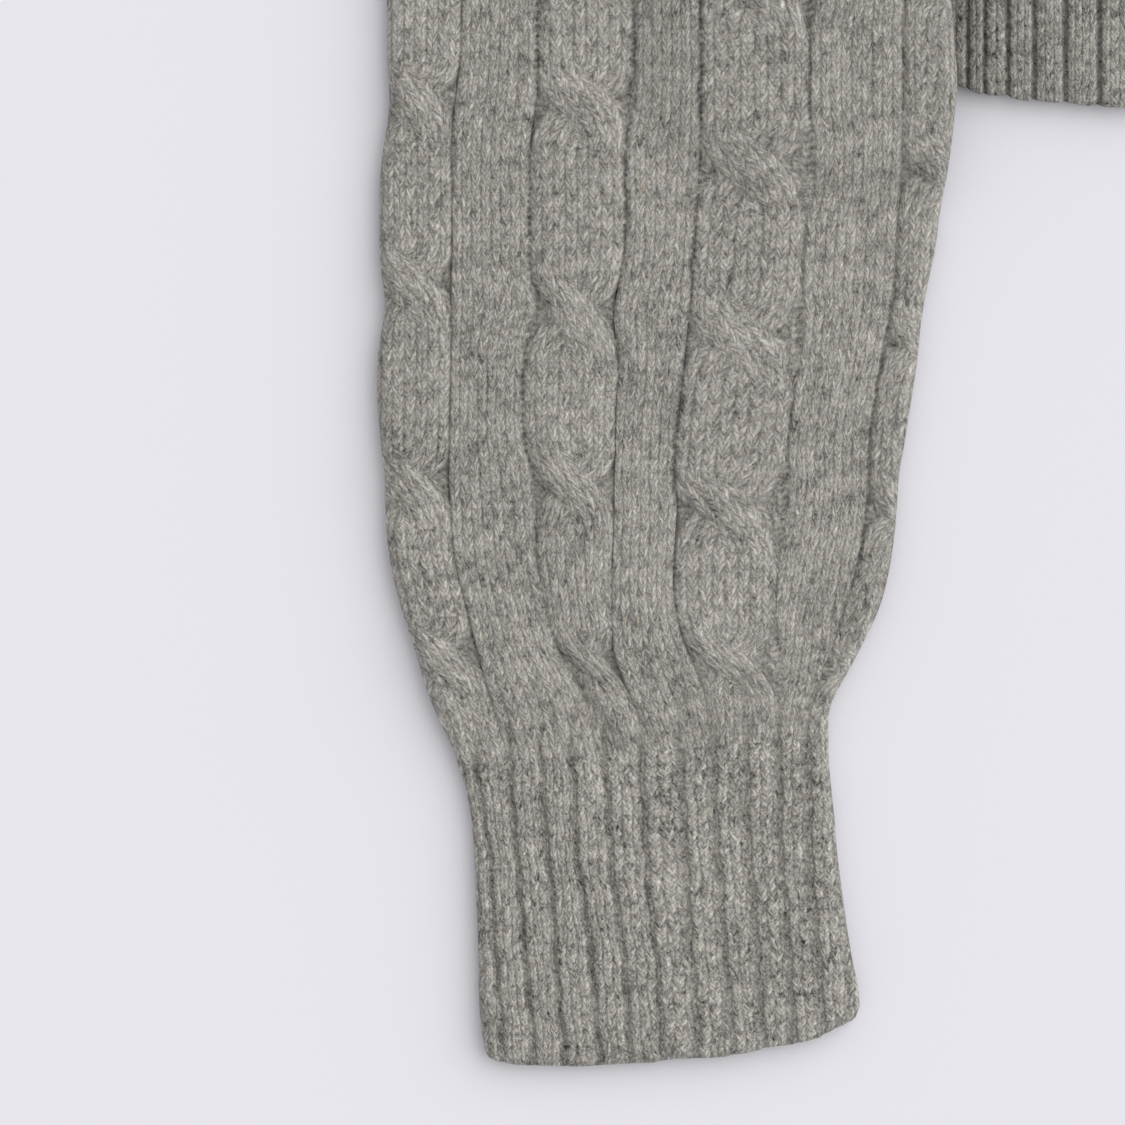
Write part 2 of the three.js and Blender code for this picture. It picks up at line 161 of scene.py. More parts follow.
# ------------------------------------------------------------- mesh utilities
def build(name, co, faces, knit=None, bake=None, attrs=None, flat=False):
    """A mesh object from vertices in garment mm and quads (-1 as fourth corner
    makes a triangle); knit and bake are per-corner uv arrays."""
    co = np.asarray(co, float).copy()
    faces = np.asarray(faces, int)
    tri = faces[:, 3] < 0
    # faces point out
    a, b, c = co[faces[:, 0]], co[faces[:, 1]], co[faces[:, 2]]
    d = co[np.where(tri, faces[:, 2], faces[:, 3])]
    vol = np.einsum("ij,ij->i", a, np.cross(b, c)).sum() + np.einsum("ij,ij->i", a, np.cross(c, d)).sum()
    order = np.tile([0, 1, 2, 3], (len(faces), 1))
    if vol < 0:
        order[~tri] = [0, 3, 2, 1]
        order[tri] = [0, 2, 1, 3]
    faces = np.take_along_axis(faces, order, 1)
    keep = faces >= 0
    loops = faces[keep]
    counts = keep.sum(1)
    starts = np.concatenate([[0], np.cumsum(counts)[:-1]])
    co[:, 1] += Y_OFF
    me = bpy.data.meshes.new(name)
    me.vertices.add(len(co))
    me.vertices.foreach_set("co", (co / 1000).astype(np.float32).ravel())
    me.loops.add(len(loops))
    me.loops.foreach_set("vertex_index", loops.astype(np.int32))
    me.polygons.add(len(faces))
    me.polygons.foreach_set("loop_start", starts.astype(np.int32))
    me.polygons.foreach_set("use_smooth", np.full(len(faces), not flat))
    me.update(calc_edges=True)
    for layer, uv in (("OFBake", bake), ("knit", knit)):
        if uv is not None:
            uv = np.take_along_axis(np.asarray(uv, float), order[:, :, None], 1)[keep]
            me.uv_layers.new(name=layer).data.foreach_set("uv", uv.astype(np.float32).ravel())
    for key, value in (attrs or {}).items():
        me.attributes.new(key, "FLOAT", "POINT").data.foreach_set("value", np.asarray(value, np.float32).ravel())
    me.validate()
    if not flat:
        me.set_sharp_from_angle(angle=math.radians(66))
    ob = bpy.data.objects.new(name, me)
    bpy.context.scene.collection.objects.link(ob)
    return ob


def grid_quads(index, wrap=False):
    """Quads of an index grid [rows, columns] and the (row, column) of each."""
    if wrap:
        index = np.concatenate([index, index[:, :1]], 1)
    q = np.stack([index[:-1, :-1], index[1:, :-1], index[1:, 1:], index[:-1, 1:]], -1)
    return q.reshape(-1, 4)


def corner(values, wrap=None):
    """Per-corner values of the same quads from a grid of values."""
    if wrap is not None:
        values = np.concatenate([values, wrap], 1)
    q = np.stack([values[:-1, :-1], values[1:, :-1], values[1:, 1:], values[:-1, 1:]], -1)
    return q.reshape(-1, 4)


def blur(a, n, axis):
    """Box blur of width 2n + 1 with held ends."""
    if n < 1:
        return a
    pad = [(0, 0)] * a.ndim
    pad[axis] = (n + 1, n)
    c = np.cumsum(np.pad(a, pad, mode="edge"), axis)
    hi = np.take(c, range(2 * n + 1, c.shape[axis]), axis)
    lo = np.take(c, range(0, c.shape[axis] - 2 * n - 1), axis)
    return (hi - lo) / (2 * n + 1)


def hollow(z, dr, dc, reach=2.2):
    """How deep each point lies below its surroundings, 0 to 1."""
    nr, nc = max(1, int(reach / dr)), max(1, int(reach / dc))
    soft = blur(blur(blur(blur(z, nr, 0), nc, 1), nr, 0), nc, 1)
    return clamp01((soft - z) / 0.75)


# ---------------------------------------------------------------- cable field
def wale_ridge(w):
    q = np.abs((w % 1.0) - 0.5) * 2
    return 1 - q ** 2.2


class Field:
    """Relief and stitch coordinates collected for one surface."""

    def __init__(self, xi, t):
        self.xi, self.t = xi, t
        shape = np.broadcast(xi, t).shape
        self.z = np.zeros(shape)
        self.wb = np.full(shape, 0.25)                # plain stitches: wale
        self.wf = np.zeros(shape)                     # strand in front
        self.vf = np.zeros(shape)
        self.wk = np.zeros(shape)                     # strand behind
        self.vk = np.zeros(shape)
        self.zf = np.full(shape, -9.0)
        self.zk = np.full(shape, -9.0)
        self.cross = np.zeros(shape)
        self.purl = np.zeros(shape)
        self.zones = []
        self.vb = np.broadcast_to(t, shape) / COURSE

    def jersey(self, a, b, wales, start, level=0.0, crown=0.25):
        m = (self.xi >= a) & (self.xi < b)
        u = clamp01((self.xi - a) / (b - a))
        z = level + crown * (1 - np.abs(2 * u - 1) ** 3)
        self.z = np.where(m, z, self.z)
        pitch = np.maximum((b - a) / wales, 2.15)      # squeezed stitches fold under, they don't shrink
        w = start + wales / 2 + (self.xi - (a + b) / 2) / pitch
        self.zones.append((m, w))
        self.wb = np.where(m, w, self.wb)

    def cable(self, a, b, crossings, start, length=20.5, sign=1, height=1.05, lift=1.15, wales=8):
        """A cable between furrow edges a and b. At each crossing, going down,
        the strand on the low side passes over to the high side (sign = 1)."""
        m = (self.xi >= a) & (self.xi < b)
        c, h = (a + b) / 2, (b - a) / 2
        s_off, half = h * 0.5, h * 0.5
        pitch = np.maximum((b - a) / wales, 2.15)
        u = (self.xi - c) / h
        band = height * (1 - np.abs(u) ** 2.6) - 0.25
        # nearest crossing
        ks = np.asarray(crossings, float)
        t = np.broadcast_to(self.t, m.shape)
        near = ks[np.abs(t[..., None] - ks).argmin(-1)]
        p = clamp01((near + length / 2 - t) / length)
        g = np.maximum(p, 1e-6) ** 0.87                # it turns early, then eases out
        s = g * g * (3 - 2 * g)
        ds = np.where((p > 0) & (p < 1), 6 * g * (1 - g) * 0.87 * np.maximum(p, 1e-3) ** -0.13, 0.0) / length
        xf = c + sign * s_off * (2 * s - 1)
        xk = c - sign * s_off * (2 * s - 1)
        slope = -sign * 2 * s_off * ds                # d xf / d t
        arch = np.sin(np.pi * s) ** 0.9

        def strand(xc, sl, tight):
            cos = 1 / np.sqrt(1 + sl * sl)
            d = (self.xi - xc) * cos
            wide = half * (1 - tight * arch)
            dome = 1 - np.abs(d / wide) ** 2.3
            t0 = t + (self.xi - xc) * sl / (1 + sl * sl)
            return np.maximum(dome, -1.6), start + wales / 4 + d / pitch, t0 / COURSE

        df, wf, vf = strand(xf, slope, 0.20)
        dk, wk, vk = strand(xk, -slope, 0.10)
        zf = height * df - 0.20 + lift * arch
        zk = height * dk - 0.25 - 0.35 * lift * arch
        # where the strands lie side by side they make one smooth band
        web = band - 1.25 * arch
        z = np.maximum(np.maximum(zf, zk), np.maximum(web, -1.30))
        self.z = np.where(m, z, self.z)
        # a corner that both strands leave shows the back loops of the ground
        bare = smooth((-0.42 - z) / 0.30) * smooth((np.abs(u) - 0.62) / 0.12) * (arch > 0.25)
        self.purl = np.where(m, np.maximum(self.purl, bare), self.purl)
        w = start + wales / 2 + (self.xi - c) / pitch
        self.zones.append((m, w))
        self.wb = np.where(m, w, self.wb)
        self.wf, self.vf = np.where(m, wf, self.wf), np.where(m, vf, self.vf)
        self.wk, self.vk = np.where(m, wk, self.wk), np.where(m, vk, self.vk)
        on = m & (np.abs(t - near) < length / 2)
        self.zf = np.where(on, zf, self.zf)
        self.zk = np.where(on, zk, self.zk)
        self.cross = np.where(on, 1.0, self.cross)

    def furrow(self, at, depth, width, purl=0.0, seed=0.0):
        # the loops beside it lean in and out, course by course
        v = self.t / COURSE + seed
        jag = 0.26 * np.sin(2 * np.pi * v) + 0.24 * np.sin(1.9 * v + 3 * seed) + 0.20 * np.sin(0.83 * v + seed)
        deep = 1 + 0.36 * np.sin(2 * np.pi * v + 1.0) + 0.26 * np.sin(0.61 * v + 2 * seed) + 0.16 * np.sin(0.23 * v + seed)
        g = np.exp(-((self.xi - at - jag) / width) ** 2)
        self.z = self.z - depth * deep * g
        if np.any(purl):
            self.purl = np.maximum(self.purl, clamp01(1.6 * np.exp(-((self.xi - at) / (1.25 * width)) ** 4)) * purl)

    def ridges(self, amount=0.26):
        front = (self.cross > 0.5) & (self.zf >= self.zk)
        back = (self.cross > 0.5) & ~front
        w = np.where(front, self.wf, np.where(back, self.wk, self.wb))
        self.z = self.z + amount * (wale_ridge(w) - 0.6) * (1 - self.purl)

    def knit_corners(self):
        """Per-face stitch coordinates: each face takes one zone's or strand's."""
        zone = np.full(self.z.shape, -1)
        for k, (m, _) in enumerate(self.zones):
            zone = np.where(m, k, zone)
        for j in range(1, zone.shape[1]):
            zone[:, j] = np.where(zone[:, j] < 0, zone[:, j - 1], zone[:, j])
        zone = np.maximum(zone, 0)
        face = corner(zone).max(1)
        base = corner(self.wb).copy()
        for k, (_, w) in enumerate(self.zones):
            base = np.where((face == k)[:, None], corner(w), base)
        on = corner(self.cross).mean(1) > 0.5
        front = on & (corner(self.zf).mean(1) >= corner(self.zk).mean(1))
        back = on & ~front
        pick = lambda f, k, b: np.where(front[:, None], corner(f), np.where(back[:, None], corner(k), b))
        return np.stack([pick(self.wf, self.wk, base), pick(self.vf, self.vk, corner(self.vb))], -1)


# ------------------------------------------------------------- measured forms
# The sleeve's fold edges on the -x side, (y, x) up from the cuff, and the
# furrows beside its cables.
LEFT = [(-157.1, -269.0), (-153.6, -269.8), (-147.6, -272.9), (-141.7, -275.5), (-135.7, -277.4), (-129.8, -279.0), (-123.8, -281.2), (-117.9, -282.9), (-111.9, -284.5), (-106.0, -285.5), (-100.0, -286.0), (-94.0, -286.2), (-88.1, -286.2), (-82.1, -287.1), (-76.2, -287.6), (-70.2, -288.1), (-64.3, -288.1), (-58.3, -287.9), (-52.4, -286.7), (-46.4, -286.0), (-40.5, -287.1), (-34.5, -287.6), (-28.6, -287.6), (-22.6, -287.6), (-16.7, -287.4), (-10.7, -286.7), (-4.8, -285.7), (1.2, -285.0), (7.1, -285.5), (13.1, -285.7), (19.0, -285.7), (25.0, -285.7)]
RIGHT = [(-150.5, -180.5), (-145.2, -180.7), (-141.7, -179.8), (-135.7, -176.2), (-129.8, -173.1), (-123.8, -170.0), (-117.9, -167.6), (-111.9, -166.2), (-106.0, -165.2), (-100.0, -164.5), (-94.0, -164.0), (-88.1, -163.8), (-82.1, -162.6), (-76.2, -161.7), (-70.2, -160.7), (-64.3, -159.8), (-58.3, -159.0), (-52.4, -158.6), (-46.4, -157.6), (-40.5, -156.4), (-34.5, -155.0), (-28.6, -154.3), (-22.6, -153.6), (-16.7, -152.4), (-10.7, -151.7), (-4.8, -151.0), (1.2, -150.5), (4.8, -150.0), (7.1, -150.2), (13.1, -150.7), (19.0, -151.2), (25.0, -151.7)]
UPPER = [  # (ring, left x, left y, right x, right y) above the part given row by row
    (40, -286.3, 40, -151.0, 40), (64, -287.6, 64, -147.5, 64), (102, -289.0, 102, -143.0, 102),
    (145, -289.3, 145, -139.9, 145), (188, -288.0, 190.0, -140.8, 185.0), (207, -286.4, 212.0, -143.2, 202.0),
    (228, -283.4, 235.0, -148.0, 220.0), (264, -274.0, 280.0, -160.0, 247.0), (295, -258.5, 319.0, -173.0, 266.5),
    (318, -237.0, 352.5, -182.0, 278.0), (333, -219.0, 371.0, -187.2, 283.0), (345, -200.6, 382.2, -190.4, 285.0)]
F1 = [(-157.1, -256.0), (-136.9, -262.1), (-108.3, -269.5), (-89.3, -270.7), (-58.3, -270.2), (-34.5, -270.0), (-6.0, -270.0), (10.7, -267.9), (25.0, -267.6)]
F2 = [(-157.1, -235.5), (-141.9, -238.1), (-129.5, -245.7), (-110.7, -250.0), (-94.0, -251.0), (-84.5, -252.1), (-77.4, -253.6), (-56.0, -253.1), (-46.4, -249.0), (-41.7, -251.9), (-22.6, -251.9), (-10.7, -252.1), (4.5, -250.0), (25.0, -250.0)]
F3 = [(-157.1, -219.8), (-141.7, -227.4), (-130.5, -231.7), (-117.9, -232.1), (-99.0, -231.4), (-89.3, -231.4), (-82.1, -231.0), (-70.2, -231.0), (-63.1, -230.0), (-56.0, -231.0), (-49.3, -231.7), (-44.0, -230.5), (-34.5, -228.8), (-22.6, -228.8), (-10.7, -229.3), (1.2, -226.9), (25.0, -226.9)]
F4 = [(-157.1, -208.3), (-141.7, -209.8), (-127.1, -215.5), (-122.9, -216.9), (-114.8, -217.9), (-103.6, -217.4), (-93.8, -216.7), (-88.3, -217.9), (-79.0, -217.1), (-65.5, -215.7), (-46.4, -213.6), (-10.7, -211.4), (10.7, -211.4), (25.0, -211.7)]
F5 = [(-157.1, -193.3), (-142.9, -191.9), (-127.4, -193.6), (-104.8, -192.6), (-67.9, -189.0), (-19.0, -185.5), (25.0, -185.5)]
F6 = [(-157.1, -186.0), (-142.9, -184.5), (-127.4, -179.0), (-108.3, -173.3), (-94.0, -171.2), (-77.4, -170.7), (-56.0, -167.1), (-44.0, -164.8), (-6.0, -163.1), (25.0, -163.1)]
# how deep each furrow is drawn in, (y, share)
DEEP = [[(-150, .3), (-120, .15), (-91, .4), (-60, .3), (-44, .25), (-15, .9), (0, .6), (25, .7)],
        [(-150, .5), (-130, .6), (-118, .25), (-108, .35), (-101, .75), (-92, .4), (-82, .75), (-63, 1.0), (-50, .9), (-35, .75), (-25, 1), (-15, .6), (-6, .4), (4, .7), (13, 1), (25, 1)],
        [(-150, .3), (-118, .15), (-101, .2), (-88, .35), (-73, .2), (-64, .45), (-54, 1.2), (-40, .7), (-25, 1.0), (-15, 1.2), (-6, .8), (5, 1.0), (15, 1.2), (25, .8)],
        [(-150, .15), (-135, .15), (-125, .6), (-112, .9), (-101, .5), (-90, .9), (-73, 1.0), (-62, .8), (-54, .5), (-40, .9), (-30, 1.15), (-15, .7), (3, 1.2), (13, .9), (25, .9)],
        [(-150, .1), (-120, .15), (-110, .45), (-100, .2), (-90, .5), (-73, .8), (-63, .3), (-53, .6), (-35, .25), (-25, .4), (-5, .8), (13, .8), (25, .7)],
        [(-150, .3), (-130, .1), (-120, .5), (-101, .8), (-72, 1.0), (-60, .9), (-52, .45), (-44, 1.0), (-33, .4), (-20, .3), (-6, .6), (5, 1.0), (25, .8)]]
CROSS = {1: [0.5, -43.6, -91.0, -131.7], 2: [-0.7, -50.7, -92.1, -135.0],
         3: [-16.0, -56.4, -96.9, -136.0], 4: [-16.4, -57.1, -97.6, -138.0]}
for _k in CROSS:
    _top = CROSS[_k][0]
    CROSS[_k] = [_top + 44 * n for n in range(8, 0, -1)] + CROSS[_k]
RIBS = {-153.6: [-264.8, -256.7, -249.3, -242.1, -234.0, -225.2, -215.7, -207.9, -200.2, -192.6, -185.5],
        -177.9: [-261.4, -255.0, -247.4, -240.5, -232.6, -224.3, -214.8, -207.1, -199.5, -191.9, -185.0],
        -204.3: [-259.8, -252.6, -245.5, -236.9, -229.3, -221.7, -213.1, -204.8, -197.4, -189.8, -182.9],
        -227.4: [-258.1, -250.7, -243.6, -235.0, -227.4, -219.8, -211.7, -203.3, -195.7, -188.1, -181.2]}
CUFF_L = [(-228.0, -262.2), (-225.5, -262.9), (-222.6, -263.3), (-216.7, -263.8), (-202.4, -264.0), (-188.1, -264.5), (-177.4, -265.0), (-170.2, -265.5), (-166.7, -266.2), (-163.1, -266.7), (-159.5, -267.9), (-157.1, -269.0)]
CUFF_R = [(-218.0, -173.0), (-213.1, -173.3), (-209.5, -174.3), (-202.4, -175.5), (-198.8, -176.0), (-188.1, -177.4), (-177.4, -178.6), (-170.2, -179.0), (-163.1, -179.8), (-156.0, -180.5), (-150.5, -180.5)]
CUFF_END = [(-263.4, -225.2), (-262.6, -226.2), (-260.7, -227.4), (-258.8, -227.9), (-255.0, -228.6), (-249.3, -228.8), (-239.8, -229.0), (-234.0, -228.6), (-228.3, -228.3), (-222.6, -228.1), (-216.9, -227.1), (-211.2, -227.1), (-205.5, -226.7), (-199.8, -225.7), (-194.0, -224.3), (-188.3, -223.6), (-182.6, -222.1), (-178.8, -219.8), (-175.0, -218.3), (-173.1, -216.7)]

LEFT = CUFF_L[:-1] + LEFT
RIGHT = CUFF_R[:-1] + RIGHT
SEAM_L, SEAM_R = -157.1, -150.5               # where sleeve and cuff are linked


def sleeve_rows(t):
    """Left and right edge points of the sleeve at ring parameter t."""
    t = np.asarray(t, float)
    tilt = (SEAM_R - SEAM_L) * smooth((-118 - t) / 39.0)
    ly = t
    ry = t + tilt
    lx, rx = lookup(LEFT, ly), lookup(RIGHT, ry)
    up = np.array(UPPER)
    tt = np.concatenate([[19, 25], up[:, 0]])
    soft = lambda col, a, b: sum(np.interp(t + d, tt, np.concatenate([[a, b], up[:, col]])) * w
                                 for d, w in ((-8, .1), (-4, .2), (0, .4), (4, .2), (8, .1)))
    k = smooth((t - 17) / 8.0)
    lx = mix(lx, soft(1, -285.7, -285.7), k)
    ly = mix(ly, soft(2, 19, 25), k)
    rx = mix(rx, soft(3, -151.2, -151.7), k)
    ry = mix(ry, soft(4, 19, 25), k)
    last = t >= 344.99
    lx, ly = np.where(last, -200.6, lx), np.where(last, 382.2, ly)
    rx, ry = np.where(last, -190.4, rx), np.where(last, 285.0, ry)
    return lx, ly, rx, ry


def rib_phase(x, y):
    """Rib count at a point on the cuff: whole at each furrow."""
    levels = sorted(RIBS)
    count = len(RIBS[levels[0]])
    y = np.clip(y, levels[0], levels[-1] + 12)
    f = np.stack([np.interp(y, levels, [RIBS[l][k] for l in levels]) for k in range(count)], -1)
    first, last = f[..., :1], f[..., -1:]
    f = np.concatenate([first - 15.0, first - 7.5, f, last + 7.3, last + 14.6, last + 21.9], -1)
    xb = np.broadcast_to(x, y.shape)[..., None]
    k = clamp01((xb - f[..., :-1]) / (f[..., 1:] - f[..., :-1])).sum(-1)
    return k - 2


def rib_relief(ph, along=0.0, open_=None):
    """Height of a ribbed surface, 0 on the crown, for a rib phase; along is the
    place down the rib, which makes the loops of its sides uneven."""
    v = along / COURSE
    n0 = np.floor(ph + 0.5)
    ph = ph + 0.022 * np.sin(2 * np.pi * v + 2.1 * n0) + 0.030 * np.sin(0.9 * v + 1.3 * n0) + 0.02 * np.sin(0.33 * v + n0)
    n = np.floor(ph)
    fr = ph - n
    o = smooth((n - 2.5) / 3.0) if open_ is None else open_
    left, right = 0.08, mix(0.89, 0.76, o)          # the rib's two flanks
    mid = (left + right) / 2
    u = (fr - mid) / ((right - left) / 2)
    crown = 0.04 * u - 0.24 * np.abs(u) ** 2.4
    floor = mix(-0.88, -0.68, o) - 0.10 * np.sin(0.47 * v + 1.9 * n)
    up = smooth((1.30 - np.abs(u)) / 0.44)
    z = mix(floor, crown, up)
    deep = mix(0.30, 0.10, o) * (1 + 0.4 * np.sin(0.7 * v + 2.3 * n0))
    z = z - deep * (np.exp(-((fr - 1.0) / 0.07) ** 2) + np.exp(-(fr / 0.07) ** 2))
    purl = clamp01(smooth((fr - right - 0.02) / 0.08)) * o
    # the count of wales runs on into the valley, so its loops stay whole
    w = n * 10 + mix(3.0, 2.0, o) * np.clip((fr - left) / (right - left), -0.12, 1.45)
    return z, purl, w


def ditch(t):
    """Half width of the ground beside the third cable: open at its crossings."""
    near = np.abs(np.asarray(t)[..., None] - 1.0 - np.array(CROSS[3])).min(-1)
    return 0.30 + 1.20 * smooth((12.0 - near) / 5.0)


def furrow_places(t, width):
    """Distance of each furrow from the outer fold along row t, and the scale
    of the pattern there (above the measured rows it widens with the sleeve)."""
    tt = np.minimum(t, 25.0)
    tilt = (SEAM_R - SEAM_L) * smooth((-118 - tt) / 39.0)
    l0 = lookup(LEFT, tt)
    scale = np.where(t > 25.0, width / (lookup(RIGHT, tt) - l0), 1.0)
    k = smooth((t - 17) / 8.0)
    scale = mix(1.0, np.maximum(width / (lookup(RIGHT, tt) - l0), 0.1), k)
    cut = [(lookup(f, tt + tilt * share) - l0) * scale
           for f, share in zip((F1, F2, F3, F4, F5, F6), (.13, .32, .45, .60, .84, .95))]
    return cut, scale


def sleeve_field(t, frac, width, sign=1, lx=None):
    """Relief and stitches over the sleeve's upper face. frac runs 0 to 1 from
    the outer fold to the inner one; t is the ring."""
    tt = np.minimum(t, 25.0)
    cut, scale = furrow_places(t, width)
    xi = frac * width
    f = Field(xi, t)
    fw, fd = 0.22, ditch(t)
    c1w = 22.0 * scale
    f.cable(cut[0] - fw - c1w, cut[0] - fw, CROSS[1], 0, sign=sign)
    f.jersey(cut[0] - fw, cut[1] + fw, 8, 20)
    f.cable(cut[1] + fw, cut[2] - fw, CROSS[2], 40, sign=sign)
    f.jersey(cut[2] - fw, cut[3] + fw, 7, 60)
    f.cable(cut[3] + fw, cut[4] - fd, CROSS[3], 80, sign=sign)
    f.jersey(cut[4] - fd, cut[4] + fd, 1, 100, level=-0.30, crown=0.0)
    f.jersey(cut[4] + fd, cut[5] - fw, 9, 120)
    f.cable(cut[5] - fw, cut[5] + c1w, CROSS[4], 140, sign=sign)
    for k, c in enumerate(cut):
        if k != 4:
            share = lookup(DEEP[k], tt) * (0.72 if k in (0, 5) else 1.0)
            f.furrow(c, 0.90 * share, 0.58, purl=clamp01(1.3 * share - 0.35), seed=1.7 * k + 0.3)
    wide = (fd - 0.30) / 1.20
    f.furrow(cut[4], lookup(DEEP[4], tt) * (0.80 + 0.35 * wide), 0.46 + 0.8 * wide, seed=5.1)
    f.purl = np.maximum(f.purl, smooth((wide - 0.35) / 0.4) * np.exp(-((xi - cut[4]) / (fd * 0.95)) ** 6))
    return f


# ------------------------------------------------------------------ materials
class Sock:
    """Arithmetic on shader sockets."""

    def __init__(self, tree, s):
        self.tree, self.s = tree, s

    def _op(self, op, *args):
        n = self.tree.nodes.new("ShaderNodeMath")
        n.operation = op
        for i, a in enumerate((self,) + args):
            if isinstance(a, Sock):
                self.tree.links.new(a.s, n.inputs[i])
            else:
                n.inputs[i].default_value = a
        return Sock(self.tree, n.outputs[0])

    def __add__(self, o): return self._op("ADD", o)
    def __sub__(self, o): return self._op("SUBTRACT", o)
    def __mul__(self, o): return self._op("MULTIPLY", o)
    def __truediv__(self, o): return self._op("DIVIDE", o)
    def rsub(self, o): return self._op("MULTIPLY", -1.0)._op("ADD", o)
    def frac(self): return self._op("FRACT")
    def floor(self): return self._op("FLOOR")
    def abs(self): return self._op("ABSOLUTE")
    def pow(self, o): return self._op("POWER", o)
    def sin(self): return self._op("SINE")
    def gt(self, o): return self._op("GREATER_THAN", o)
    def mx(self, o): return self._op("MAXIMUM", o)
    def mn(self, o): return self._op("MINIMUM", o)

    def step(self, a, b):
        n = self.tree.nodes.new("ShaderNodeMapRange")
        n.interpolation_type = "SMOOTHSTEP"
        self.tree.links.new(self.s, n.inputs[0])
        n.inputs[1].default_value, n.inputs[2].default_value = a, b
        n.inputs[3].default_value, n.inputs[4].default_value = 0.0, 1.0
        return Sock(self.tree, n.outputs[0])

    def lerp(self, o, t):
        return self + (o - self) * t


def noise(tree, vec, scale, detail=2.0, rough=0.5):
    n = tree.nodes.new("ShaderNodeTexNoise")
    n.noise_dimensions = "3D"
    n.inputs["Scale"].default_value = scale
    n.inputs["Detail"].default_value = detail
    n.inputs["Roughness"].default_value = rough
    tree.links.new(vec, n.inputs["Vector"])
    return Sock(tree, n.outputs[0])


def xyz(tree, x, y, z):
    n = tree.nodes.new("ShaderNodeCombineXYZ")
    for i, a in enumerate((x, y, z)):
        if isinstance(a, Sock):
            tree.links.new(a.s, n.inputs[i])
        else:
            n.inputs[i].default_value = a
    return n.outputs[0]


def new_material(name, roughness, sheen=0.0):
    mat = bpy.data.materials.new(name)
    mat.use_nodes = True
    t = mat.node_tree
    for n in list(t.nodes):
        t.nodes.remove(n)
    out = t.nodes.new("ShaderNodeOutputMaterial")
    bsdf = t.nodes.new("ShaderNodeBsdfPrincipled")
    t.links.new(bsdf.outputs[0], out.inputs[0])
    bsdf.inputs["Roughness"].default_value = roughness
    bsdf.inputs["Specular IOR Level"].default_value = 0.18
    if sheen:
        bsdf.inputs["Sheen Weight"].default_value = sheen
        bsdf.inputs["Sheen Roughness"].default_value = 0.6
    return mat, t, bsdf


